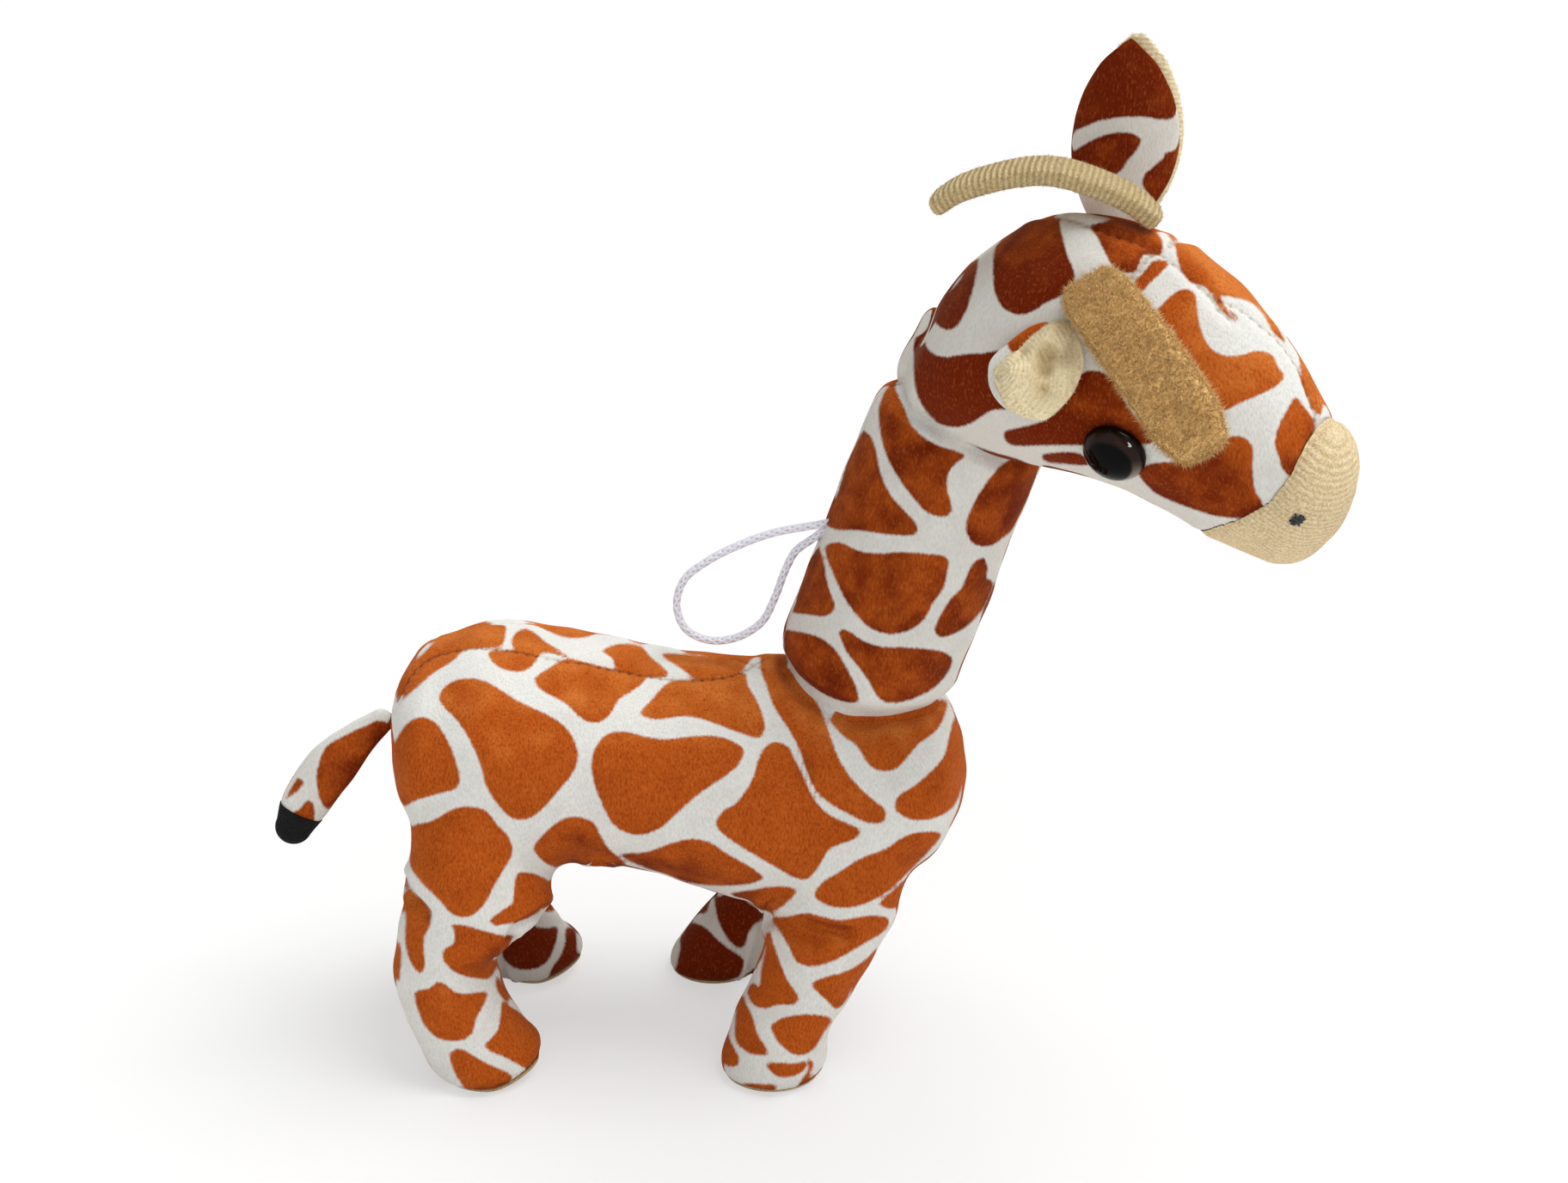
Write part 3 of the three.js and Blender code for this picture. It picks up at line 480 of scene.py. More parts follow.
CORD_ROUTE = [
    (35.2, 0, 141.5), (24.2, 0, 139.4), (15.6, 0, 136.2), (7.7, 0, 132), (1.9, 0, 127.2),
    (-0.2, 0, 120.4), (1.9, 0, 114), (7.7, 0, 110.9), (14.7, 0, 111.6), (21.1, 0, 115.8),
    (24.5, 0, 122.6), (27, 0, 129.6), (29.6, 0, 134.6), (34, 0, 138),
]
# The two ends go on into the neck's seam
CORD_SEWN_IN = (39, 0, 142.3), (37.3, 0, 140.6)
BRAID_PITCH, BRAID_STRANDS, STRAND_SINK, STRAND_HEIGHT = 2.6, 4, 0.14, 0.16


def braided(path):
    length = np.concatenate([[0], np.cumsum(np.linalg.norm(np.diff(path, axis=0), axis=1))])
    sides = 28
    angle = np.arange(sides) * 2 * np.pi / sides
    ahead = unit(np.gradient(path, axis=0))
    side = np.broadcast_to([0.0, 1, 0], ahead.shape)
    up = np.cross(ahead, side)
    phase = 2 * np.pi * length[:, None] / BRAID_PITCH
    left = np.cos(BRAID_STRANDS * angle[None] + phase)
    right = np.cos(BRAID_STRANDS * angle[None] - phase)
    strand = np.maximum(left, right)
    radius = CORD_DIAMETER / 2 - STRAND_SINK + STRAND_HEIGHT * strand
    circle = np.cos(angle)[:, None] * side[:, None] + np.sin(angle)[:, None] * up[:, None]
    rings = path[:, None] + radius[..., None] * circle
    return rings.reshape(-1, 3), ring_faces(len(path), sides), {"strand": strand.ravel() * 0.5 + 0.5}


start, end = CORD_SEWN_IN
cord_path = spline(np.array([start, *CORD_ROUTE, end]) + ORIGIN, np.linspace(0, 1, 450))
v, f, layers = braided(cord_path)
loop = piece("hanging_loop_cord", (v, f), layers, CORD, "hanging_loop", ["hanging_loop"])


# Stuffed forms, as in the part: elliptical rings strung along a curve, each end domed


class Form:
    """Its rings are (centre, half depth, half width). A power below 1 squares their corners."""

    def __init__(self, rings, start_dome=0.0, end_dome=0.0, ahead=None, power=1.0):
        self.centres = [r[0] for r in rings]
        self.sizes = [(r[1], r[2], 0) for r in rings]
        self.start_dome, self.end_dome, self.power = start_dome, end_dome, power
        self.fixed = None if ahead is None else unit(ahead)

    def frame(self, t):
        centre = spline(self.centres, t)
        if self.fixed is None:
            after, before = np.minimum(t + 1e-3, 1), np.maximum(t - 1e-3, 0)
            ahead = unit(spline(self.centres, after) - spline(self.centres, before))
        else:
            ahead = np.broadcast_to(self.fixed, centre.shape)
        side = unit(np.array([0.0, 1, 0]) - ahead * ahead[..., 1:2])
        return centre, ahead, side, np.cross(ahead, side), spline(self.sizes, t)

    def points(self, t, degrees):
        """t runs from 0 to 1 along the form, -1 to 0 over the start dome and 1 to 2 over the end dome."""
        t, degrees = np.broadcast_arrays(np.asarray(t, float), np.asarray(degrees, float))
        centre, ahead, side, up, size = self.frame(np.clip(t, 0, 1))
        over = np.pi / 2 * np.where(t < 0, t, np.maximum(t - 1, 0))
        dome = np.sin(over) * np.where(t < 0, self.start_dome, self.end_dome)
        angle = np.radians(degrees)
        cos, sin = (np.sign(f(angle)) * np.abs(f(angle)) ** self.power for f in (np.cos, np.sin))
        shrink = np.cos(over)
        return (
            centre
            + ahead * dome[..., None]
            + side * (size[..., 1] * shrink * cos)[..., None]
            + up * (size[..., 0] * shrink * sin)[..., None]
        )

    def seat(self, t, degrees):
        along = self.points(t + 0.01, degrees) - self.points(t - 0.01, degrees)
        around = self.points(t, degrees + 1) - self.points(t, degrees - 1)
        return self.points(t, degrees), unit(np.cross(around, along))

    def mesh(self, steps, sides, dome_steps=14):
        starts = -np.linspace(1, 0, dome_steps + 1)[1:-1] if self.start_dome else np.array([])
        ends = 1 + np.linspace(0, 1, dome_steps + 1)[1:-1] if self.end_dome else np.array([])
        rows = np.concatenate([starts, np.linspace(0, 1, steps + 1), ends])
        angles = np.arange(sides) * 360 / sides
        body = self.points(rows[:, None], angles[None, :]).reshape(-1, 3)
        first = self.points(-1 if self.start_dome else 0, 0) if self.start_dome else self.frame(0.0)[0]
        last = self.points(2, 0) if self.end_dome else self.frame(1.0)[0]
        return np.vstack([first[None], body, last[None]]), poled_faces(len(rows), sides)


def torso_place(along, across, rise):
    return np.array([TORSO_LENGTH * along, TORSO_WIDTH * across, LEG_LENGTH + TORSO_HEIGHT * rise]) + ORIGIN


TORSO_SHARES = [
    (-0.405, 0.215, 0.45, 0.45), (-0.303, 0.215, 0.5, 0.5), (-0.127, 0.17, 0.48, 0.475),
    (0.049, 0.09, 0.48, 0.47), (0.225, 0.07, 0.49, 0.5), (0.37, 0.09, 0.445, 0.465),
]
torso = Form(
    [(torso_place(a, 0, r), TORSO_HEIGHT * h, TORSO_WIDTH * w) for a, r, h, w in TORSO_SHARES],
    RUMP_DOME, CHEST_DOME, ahead=(1, 0, 0),
)

HIND_SHARES = [
    (0.14, -0.01, 0.25, 0.52), (0.31, -0.01, 0.264, 0.52), (0.54, -0.145, 0.186, 0.47),
    (0.73, -0.11, 0.193, 0.45), (0.9, -0.04, 0.21, 0.45), (1, 0, 0.2, 0.44),
]
FRONT_SHARES = [
    (0.14, 0.03, 0.27, 0.52), (0.27, 0.045, 0.27, 0.51), (0.45, 0.045, 0.238, 0.47),
    (0.6, 0.02, 0.214, 0.45), (0.78, -0.02, 0.215, 0.44), (1, 0, 0.215, 0.44),
]
LEGS = {
    "near_hind": (-1, -0.345, 0, HIND_SHARES, 1.5),
    "far_hind": (1, -0.345, 0, HIND_SHARES, 7),
    "near_front": (-1, 0.275, FRONT_HIP_DROP, FRONT_SHARES, -17),
    "far_front": (1, 0.275, FRONT_HIP_DROP, FRONT_SHARES, -34),
}


def leg_form(side, hip_share, drop, shares, stride):
    """Shares are (down the leg, bow, depth, width), and the stride is how far forward the foot stands."""
    hip = np.array([TORSO_LENGTH * hip_share, side * HIP_SPREAD / 2, LEG_LENGTH - drop])
    length = hip[2]
    rings = []
    for down, bow, deep, wide in shares:
        spread = HIP_SPREAD + (FOOT_SPREAD - HIP_SPREAD) * down
        at = np.array([hip[0] + stride * down + length * bow, side * spread / 2, length * (1 - down)])
        rings.append((at + ORIGIN, length * deep, LEG_WIDTH * wide))
    rings[-1] = (rings[-1][0], FOOT_LENGTH / 2, rings[-1][2])
    rings.insert(0, (hip + ORIGIN, HIP_RADIUS, HIP_RADIUS))
    return hip + ORIGIN, Form(rings, start_dome=HIP_RADIUS, ahead=(0, 0, -1))


legs = {name: leg_form(*row) for name, row in LEGS.items()}

neck_pivot = torso_place(0.305, 0, 0.46)
neck_ahead = np.array([math.sin(math.radians(NECK_LEAN)), 0, math.cos(math.radians(NECK_LEAN))])
neck_back = np.array([-neck_ahead[2], 0, neck_ahead[0]])
head_pivot = neck_pivot + neck_ahead * NECK_LENGTH
base_ball, top_ball = 0.43 * NECK_BASE_WIDTH, 0.43 * NECK_TOP_WIDTH
NECK_SHARES = [(0.12, 1, 0), (0.3, 1, 0), (0.55, 0.5, 0.6), (0.78, 0.25, 1), (0.9, 0, 0.8)]
neck_rings = [(neck_pivot, base_ball, base_ball)]
for along, base, bow in NECK_SHARES:
    half = (NECK_BASE_WIDTH * base + NECK_TOP_WIDTH * (1 - base)) / 2
    at = neck_pivot + neck_ahead * NECK_LENGTH * along + neck_back * NECK_BOW * bow
    neck_rings.append((at, half, half))
neck_rings.append((head_pivot, top_ball, top_ball))
neck = Form(neck_rings, base_ball, top_ball, ahead=neck_ahead)

HEAD_SHARES = [
    (-0.13, 0.12, 0.2, 0.22), (-0.06, 0.2, 0.4, 0.38), (0.05, 0.335, 0.5, 0.46), (0.16, 0.415, 0.515, 0.49),
    (0.286, 0.455, 0.478, 0.485), (0.446, 0.445, 0.428, 0.435), (0.6, 0.365, 0.37, 0.365),
    (0.73, 0.27, 0.275, 0.28),
]
head_rings = [
    (np.array([HEAD_LENGTH * a, 0, HEAD_HEIGHT * r]), HEAD_HEIGHT * h, HEAD_WIDTH * w)
    for a, r, h, w in HEAD_SHARES
]
head = Form(head_rings, SKULL_DOME, MUZZLE_DOME, ahead=(1, 0, 0))
head_rotation = np.array(
    Matrix.Rotation(math.radians(HEAD_TURN), 3, "Z")
    @ Matrix.Rotation(math.radians(HEAD_NOD), 3, "Y")
    @ Matrix.Rotation(math.radians(HEAD_TILT), 3, "X")
)


def from_head(points):
    return np.asarray(points) @ head_rotation.T + head_pivot


def to_head(points):
    return (np.asarray(points) - head_pivot) @ head_rotation


def head_seat(t, degrees, side):
    return head.seat(np.array(t), np.array(degrees if side > 0 else 180 - degrees))


def arc(length, turn, share):
    angle = turn * share
    radius = length / turn
    return radius * np.sin(angle), radius * (1 - np.cos(angle)), angle


class Flap:
    """A flap's frame on the head: +X along it, +Z its face. Its points go to the part's frame."""

    def __init__(self, side, seat, lift, along, face):
        point, normal = head_seat(*seat, side)
        self.x = unit(along)
        self.z = unit(np.array(face) - self.x * np.dot(face, self.x))
        self.y = np.cross(self.z, self.x)
        self.root = point + normal * lift

    def place(self, points):
        points = np.asarray(points)
        return from_head(self.root + points @ np.array([self.x, self.y, self.z]))


# The print's patches that the photograph shows, read off it: each outline is a row of x and y pixels in turn
PRINT = {
    "body": [
        [492, 760, 505, 747, 520, 738, 545, 729, 570, 725, 588, 727, 588, 737, 583, 752, 565, 754,
         540, 757, 528, 768, 503, 784, 487, 798, 471, 812, 461, 822, 463, 796, 478, 774],
        [599, 737, 610, 731, 621, 735, 634, 746, 652, 757, 663, 767, 646, 761, 630, 760, 620, 774,
         606, 781, 587, 779, 574, 771, 568, 758, 598, 755, 595, 748],
        [630, 728, 659, 728, 690, 737, 677, 742, 656, 741, 640, 735],
        [622, 790, 640, 776, 659, 766, 680, 770, 715, 779, 752, 787, 740, 801, 721, 813, 706, 835,
         692, 841, 677, 836, 659, 819, 628, 801],
        [701, 757, 721, 749, 746, 752, 756, 763, 779, 785, 771, 788, 740, 787, 718, 780, 712, 766],
        [770, 761, 799, 761, 831, 763, 856, 758, 885, 755, 871, 769, 862, 782, 846, 786, 815, 791,
         806, 788, 790, 776, 774, 766],
        [745, 829, 756, 816, 779, 793, 806, 791, 840, 786, 866, 782, 870, 797, 881, 816, 890, 847,
         884, 858, 871, 856, 846, 847, 815, 836, 793, 833, 765, 837, 748, 833],
        [511, 813, 515, 801, 531, 791, 549, 789, 568, 794, 602, 815, 640, 833, 659, 847, 670, 866,
         672, 885, 665, 901, 652, 917, 628, 944, 612, 953, 596, 952, 577, 933, 565, 913, 560, 894,
         549, 866, 534, 841, 516, 822],
        [448, 885, 459, 863, 474, 841, 491, 834, 506, 840, 520, 860, 529, 882, 535, 904, 532, 916,
         515, 922, 487, 930, 460, 940, 448, 913],
        [473, 972, 477, 962, 502, 955, 527, 941, 546, 938, 565, 943, 577, 957, 593, 976, 596, 993,
         587, 1010, 574, 1032, 562, 1054, 546, 1066, 527, 1064, 512, 1048, 490, 1026, 477, 1007],
        [621, 985, 627, 976, 643, 960, 659, 951, 677, 951, 690, 957, 701, 976, 709, 988, 728, 1005,
         716, 1010, 699, 1008, 681, 1009, 659, 1011, 640, 1007, 624, 994],
        [602, 1016, 615, 1015, 627, 1018, 640, 1025, 658, 1026, 640, 1046, 615, 1065, 593, 1074, 574, 1076,
         570, 1071, 584, 1059, 596, 1050, 598, 1032],
        [688, 888, 693, 869, 706, 854, 727, 851, 752, 857, 774, 860, 799, 857, 831, 856, 852, 862,
         865, 872, 860, 888, 846, 901, 815, 922, 793, 941, 768, 963, 746, 971, 727, 968, 712, 957,
         699, 932, 690, 907],
        [723, 994, 752, 991, 777, 982, 802, 976, 824, 979, 846, 993, 877, 1011, 888, 1021, 877, 1027,
         856, 1030, 815, 1029, 784, 1022, 752, 1010, 727, 999],
        [833, 956, 841, 943, 856, 934, 875, 906, 881, 887, 888, 871, 900, 863, 916, 868, 925, 884,
         934, 902, 944, 924, 959, 943, 981, 956, 1000, 965, 997, 974, 981, 981, 966, 987, 950, 1012,
         938, 1023, 922, 1020, 903, 1009, 875, 993, 850, 977, 836, 965],
        [884, 774, 888, 758, 900, 740, 915, 750, 919, 775, 938, 800, 953, 822, 966, 856, 975, 881,
         991, 906, 1012, 927, 1030, 943, 1028, 956, 1009, 957, 991, 949, 969, 937, 950, 921, 937, 893,
         928, 868, 916, 846, 900, 821, 891, 796],
        [966, 837, 975, 824, 994, 812, 1040, 822, 1080, 812, 1101, 815, 1097, 837, 1087, 852, 1069, 865,
         1053, 884, 1041, 895, 1022, 896, 1009, 887, 997, 868, 981, 856, 969, 843],
        [1115, 834, 1124, 871, 1122, 902, 1112, 934, 1100, 946, 1075, 954, 1053, 951, 1041, 940, 1044, 927,
         1062, 915, 1084, 896, 1097, 881, 1103, 862, 1110, 836],
        [1095, 795, 1110, 780, 1120, 790, 1116, 805, 1104, 808],
        [947, 1040, 956, 1027, 975, 1015, 1000, 999, 1031, 987, 1050, 974, 1069, 968, 1095, 970, 1081, 990,
         1059, 1012, 1037, 1034, 1012, 1049, 987, 1056, 966, 1054, 950, 1046],
        [850, 1040, 875, 1035, 900, 1031, 919, 1032, 927, 1036, 916, 1049, 903, 1059, 887, 1060, 869, 1050],
        [1023, 1052, 1037, 1037, 1060, 1019, 1052, 1046, 1038, 1057],
        [897, 1068, 917, 1066, 938, 1062, 956, 1066, 976, 1070, 997, 1067, 1013, 1065, 1033, 1068,
         1033, 1077, 1022, 1088, 1001, 1100, 979, 1113, 958, 1122, 940, 1124, 926, 1118, 919, 1104,
         910, 1088, 901, 1075],
        [944, 1144, 958, 1137, 981, 1131, 1004, 1118, 1026, 1098, 1020, 1116, 1004, 1134, 990, 1152,
         980, 1170, 971, 1173, 963, 1165, 951, 1154],
        [894, 1081, 899, 1095, 906, 1115, 915, 1138, 929, 1161, 925, 1168, 906, 1169, 888, 1173, 876, 1168,
         869, 1154, 875, 1143, 883, 1147, 885, 1129, 888, 1115, 890, 1103, 889, 1092],
        [875, 1106, 881, 1093, 887, 1084, 890, 1099, 888, 1111, 882, 1120, 879, 1127, 875, 1118],
        [863, 1154, 867, 1165, 876, 1184, 881, 1202, 892, 1220, 894, 1226, 879, 1227, 865, 1221, 856, 1211,
         855, 1193, 858, 1168],
        [897, 1193, 906, 1186, 922, 1181, 940, 1180, 967, 1185, 958, 1202, 947, 1220, 935, 1227, 922, 1226,
         908, 1215, 899, 1202],
        [835, 1224, 839, 1202, 844, 1177, 848, 1179, 846, 1197, 851, 1213, 860, 1231, 858, 1239, 847, 1240,
         838, 1231],
        [831, 1244, 840, 1254, 854, 1257, 876, 1261, 906, 1263, 897, 1277, 885, 1284, 867, 1288, 849, 1282,
         835, 1267, 829, 1252],
        [891, 1237, 904, 1236, 922, 1237, 940, 1235, 933, 1247, 922, 1252, 908, 1253, 897, 1247],
        [940, 1232, 946, 1236, 943, 1249, 934, 1262, 924, 1269, 932, 1256, 940, 1244],
        [466, 1023, 474, 1020, 481, 1038, 494, 1054, 500, 1068, 500, 1077, 494, 1089, 493, 1102, 494, 1125,
         489, 1132, 481, 1125, 474, 1109, 471, 1091, 472, 1068, 469, 1045],
        [525, 1076, 538, 1076, 558, 1081, 581, 1087, 600, 1087, 588, 1102, 580, 1120, 569, 1138, 554, 1138,
         538, 1135, 522, 1125, 515, 1114, 517, 1104, 527, 1098, 529, 1086],
        [483, 1154, 490, 1151, 500, 1149, 506, 1143, 515, 1143, 524, 1150, 531, 1154, 542, 1156, 567, 1154,
         563, 1168, 554, 1186, 549, 1202, 538, 1210, 524, 1211, 508, 1207, 494, 1193, 487, 1177, 483, 1164],
        [564, 1216, 572, 1207, 579, 1198, 582, 1182, 585, 1164, 596, 1172, 613, 1182, 629, 1195, 627, 1209,
         634, 1223, 635, 1236, 631, 1244, 617, 1245, 604, 1239, 585, 1229, 569, 1222],
        [524, 1224, 535, 1220, 549, 1227, 567, 1237, 585, 1245, 597, 1252, 597, 1259, 585, 1264, 563, 1266,
         542, 1264, 531, 1252, 526, 1241],
        [464, 1095, 467, 1107, 466, 1127, 464, 1141, 459, 1134, 458, 1123, 461, 1104],
        [577, 1136, 585, 1145, 592, 1159, 591, 1167, 582, 1158, 577, 1148],
    ],
    "far_hind": [
        [583, 1111, 590, 1095, 604, 1079, 614, 1072, 622, 1078, 640, 1079, 648, 1078, 648, 1091, 642, 1109,
         635, 1120, 622, 1127, 608, 1128, 597, 1125, 588, 1118],
        [659, 1079, 669, 1082, 671, 1095, 672, 1113, 676, 1124, 667, 1134, 654, 1138, 638, 1140, 640, 1129,
         651, 1113, 657, 1098],
        [628, 1056, 635, 1046, 641, 1042, 650, 1058, 640, 1060],
        [646, 1042, 651, 1040, 659, 1052, 668, 1066, 673, 1082, 669, 1084, 661, 1075, 658, 1066, 651, 1054],
        [580, 1127, 588, 1134, 599, 1143, 608, 1149, 599, 1151, 588, 1144, 580, 1136],
        [681, 1088, 692, 1102, 692, 1116, 684, 1107],
    ],
    "far_front": [
        [832, 1038, 844, 1038, 866, 1048, 884, 1058, 886, 1067, 876, 1077, 869, 1090, 867, 1099, 860, 1103,
         849, 1095, 838, 1077, 833, 1061],
        [794, 1075, 806, 1073, 822, 1080, 835, 1093, 849, 1104, 865, 1116, 865, 1127, 858, 1138, 842, 1144,
         822, 1144, 801, 1142, 787, 1132, 788, 1118, 791, 1104, 791, 1088],
        [757, 1093, 774, 1077, 788, 1062, 793, 1063, 791, 1077, 781, 1090, 774, 1104, 772, 1118, 771, 1136,
         763, 1129, 755, 1115, 755, 1104],
        [805, 1061, 808, 1050, 824, 1037, 825, 1049, 822, 1061, 819, 1063, 813, 1061],
        [785, 1147, 797, 1146, 808, 1149, 817, 1157, 808, 1162, 797, 1158],
        [827, 1158, 835, 1151, 849, 1147, 860, 1144, 854, 1153, 840, 1158],
    ],
    "neck": [
        [1036, 440, 1044, 460, 1052, 477, 1060, 494, 1074, 508, 1091, 518, 1113, 525, 1122, 530, 1110, 541,
         1103, 552, 1102, 569, 1107, 589, 1106, 597, 1099, 601, 1080, 597, 1058, 574, 1041, 549, 1030, 527,
         1024, 502, 1022, 485, 1023, 472, 1030, 455],
        [1003, 500, 1013, 508, 1019, 524, 1024, 549, 1035, 574, 1052, 594, 1066, 610, 1066, 621, 1035, 622,
         999, 617, 969, 615, 958, 605, 958, 585, 964, 564, 983, 539, 995, 517],
        [960, 635, 977, 631, 997, 640, 1022, 644, 1047, 642, 1074, 644, 1102, 649, 1102, 666, 1097, 685,
         1085, 702, 1074, 722, 1058, 733, 1035, 738, 1013, 731, 997, 716, 983, 697, 972, 674, 963, 652],
        [1124, 610, 1130, 591, 1144, 566, 1160, 547, 1177, 538, 1214, 534, 1210, 560, 1199, 583, 1185, 608,
         1169, 624, 1152, 635, 1135, 634, 1126, 624],
        [1087, 734, 1091, 722, 1105, 697, 1119, 683, 1126, 666, 1135, 652, 1144, 649, 1149, 660, 1148, 672,
         1155, 677, 1149, 697, 1140, 713, 1124, 729, 1108, 738, 1094, 741],
        [936, 622, 948, 604, 952, 630, 958, 652, 963, 680, 971, 708, 960, 717, 941, 715, 917, 710,
         913, 694, 921, 669, 930, 644],
        [913, 733, 924, 734, 944, 738, 963, 747, 977, 763, 988, 783, 997, 802, 998, 816, 985, 819,
         963, 813, 944, 802, 930, 791, 919, 780, 913, 760],
        [976, 733, 988, 734, 1002, 744, 1024, 752, 1052, 753, 1080, 755, 1099, 759, 1108, 767, 1102, 783,
         1088, 799, 1069, 810, 1047, 817, 1030, 817, 1019, 808, 1010, 791, 997, 774, 985, 758],
    ],
    "head": [
        [1085, 367, 1088, 355, 1102, 342, 1117, 325, 1125, 308, 1137, 298, 1135, 323, 1130, 343, 1123, 363,
         1110, 382, 1098, 383, 1088, 375],
        [1157, 290, 1163, 278, 1180, 262, 1200, 246, 1217, 239, 1228, 243, 1233, 262, 1237, 280, 1243, 300,
         1250, 317, 1248, 333, 1237, 343, 1217, 352, 1200, 363, 1183, 366, 1167, 358, 1157, 340, 1155, 313],
        [1036, 384, 1052, 376, 1088, 328, 1134, 280, 1118, 266, 1066, 318],
        [1268, 263, 1283, 258, 1303, 253, 1323, 257, 1343, 268, 1353, 283, 1350, 297, 1330, 297, 1323, 313,
         1313, 318, 1297, 313, 1287, 297, 1277, 277],
        [1318, 330, 1330, 317, 1343, 303, 1360, 305, 1350, 318, 1337, 330, 1327, 340],
        [1065, 393, 1073, 390, 1080, 407, 1097, 415, 1120, 412, 1140, 411, 1170, 408, 1200, 420, 1205, 450,
         1180, 474, 1153, 478, 1130, 492, 1113, 497, 1093, 493, 1077, 478, 1067, 460, 1063, 437, 1063, 413],
        [1170, 513, 1168, 503, 1187, 497, 1217, 488, 1237, 470, 1247, 447, 1260, 433, 1280, 432, 1297, 443,
         1307, 463, 1320, 483, 1337, 497, 1347, 510, 1340, 515, 1323, 518, 1260, 518, 1217, 518, 1190, 519,
         1177, 518],
        [1345, 363, 1353, 353, 1367, 340, 1380, 336, 1390, 342, 1393, 363, 1397, 383, 1407, 403, 1423, 413,
         1443, 413, 1463, 408, 1480, 413, 1487, 427, 1494, 438, 1483, 450, 1463, 460, 1440, 470, 1423, 478,
         1413, 470, 1407, 457, 1397, 437, 1383, 420, 1367, 397, 1350, 373],
        [1358, 265, 1383, 272, 1413, 290, 1444, 315, 1464, 340, 1480, 365, 1495, 398, 1483, 390, 1470, 367,
         1457, 353, 1430, 345, 1410, 342, 1400, 333, 1387, 330, 1375, 317, 1367, 290],
        [1410, 342, 1418, 343, 1425, 356, 1437, 366, 1440, 373, 1432, 370, 1420, 360],
        [1323, 547, 1337, 540, 1363, 537, 1390, 537, 1413, 523, 1430, 508, 1450, 510, 1457, 520, 1457, 547,
         1460, 570, 1470, 590, 1463, 600, 1443, 603, 1413, 600, 1390, 593, 1363, 583, 1343, 573, 1330, 560],
        [1483, 517, 1487, 497, 1497, 477, 1507, 462, 1517, 473, 1530, 493, 1527, 507, 1520, 523, 1513, 540,
         1503, 555, 1493, 547, 1487, 530],
        [1513, 418, 1529, 443, 1539, 463, 1536, 482, 1527, 477, 1522, 463, 1515, 440],
        [1108, 513, 1123, 515, 1157, 527, 1190, 537, 1170, 539, 1143, 534, 1117, 524],
        [1212, 530, 1230, 526, 1257, 528, 1268, 540, 1240, 540, 1215, 536],
    ],
    "far_ear": [
        [1236, 154, 1246, 120, 1262, 90, 1286, 58, 1308, 32, 1344, 30, 1357, 60, 1364, 85, 1373, 112,
         1375, 130, 1357, 139, 1330, 136, 1300, 137, 1275, 142, 1259, 149],
        [1248, 177, 1255, 172, 1272, 162, 1292, 155, 1310, 154, 1327, 161, 1322, 175, 1312, 187, 1300, 202,
         1280, 204, 1252, 200],
        [1330, 205, 1340, 195, 1352, 185, 1357, 177, 1369, 177, 1372, 200, 1372, 217, 1367, 232, 1355, 246,
         1350, 240, 1340, 230, 1330, 217],
    ],
    "near_ear": [
        [1172, 402, 1178, 384, 1200, 366, 1226, 366, 1236, 380, 1214, 396, 1200, 408, 1184, 414],
    ],
    "tail": [
        [369, 916, 368, 904, 372, 884, 380, 868, 396, 858, 412, 850, 430, 842, 440, 838, 456, 844,
         456, 862, 448, 866, 440, 878, 436, 888, 430, 898, 420, 908, 404, 922, 390, 936, 382, 941,
         375, 936],
        [338, 948, 348, 941, 358, 931, 364, 934, 366, 950, 362, 970, 352, 974, 343, 964, 339, 956],
        [333, 929, 338, 918, 347, 905, 353, 910, 346, 920, 338, 926],
    ],
}

# Seams that the photograph shows, in its pixels
GUSSET_SEAM = [
    (462, 815), (480, 782), (500, 765), (525, 757), (560, 753), (600, 757), (640, 765), (680, 771),
    (730, 781), (790, 790), (850, 785), (890, 768),
]
CROWN_SEAM = [
    (1098, 324), (1136, 284), (1183, 259), (1226, 251), (1286, 269), (1347, 291), (1379, 316), (1411, 344),
    (1440, 358), (1469, 380), (1492, 402), (1511, 430), (1524, 462), (1535, 494),
]
DART_SEAM = [(1240, 373), (1280, 346), (1322, 317), (1336, 298), (1351, 291)]
TUCK_SEAM = [(1411, 344), (1420, 360), (1436, 373)]
CREASES = [
    [(887, 1066), (915, 1071), (950, 1080), (985, 1088)],
    [(887, 1068), (912, 1084), (945, 1097)],
    [(888, 1066), (884, 1092), (877, 1120), (868, 1148)],
    [(700, 1003), (668, 1028), (635, 1058), (600, 1082)],
    [(600, 1082), (588, 1105), (583, 1130), (590, 1152)],
    [(470, 1018), (478, 1040), (494, 1062)],
]
SHOULDER_FOLD = [(893, 862), (925, 905), (965, 948)]


def signed_distance(points, outline):
    """Distance to a closed outline in its plane: above zero inside it."""
    closed = np.vstack([outline, outline[:3]])
    n = len(outline)
    t = (np.arange(n * 4) / 4 + 1) / (n + 2)
    curve = spline(np.vstack([outline[-1:], closed[: n + 2]]), t)
    a, b = curve, np.roll(curve, -1, 0)
    ab = b - a
    ap = points[:, None] - a[None]
    share = np.clip((ap * ab).sum(-1) / np.maximum((ab**2).sum(-1), 1e-9), 0, 1)
    distance = np.sqrt(((ap - share[..., None] * ab) ** 2).sum(-1)).min(1)
    above = (a[None, :, 1] > points[:, None, 1]) != (b[None, :, 1] > points[:, None, 1])
    with np.errstate(divide="ignore", invalid="ignore"):
        crossing = (b[:, 0] - a[:, 0]) * (points[:, None, 1] - a[:, 1]) / (b[:, 1] - a[:, 1]) + a[:, 0]
    inside = (above & (points[:, None, 0] < crossing)).sum(1) % 2 == 1
    return np.where(inside, distance, -distance)


PRINT_REACH = 6.0
NEAR_COVER = 8.0
PIXEL = 0.2


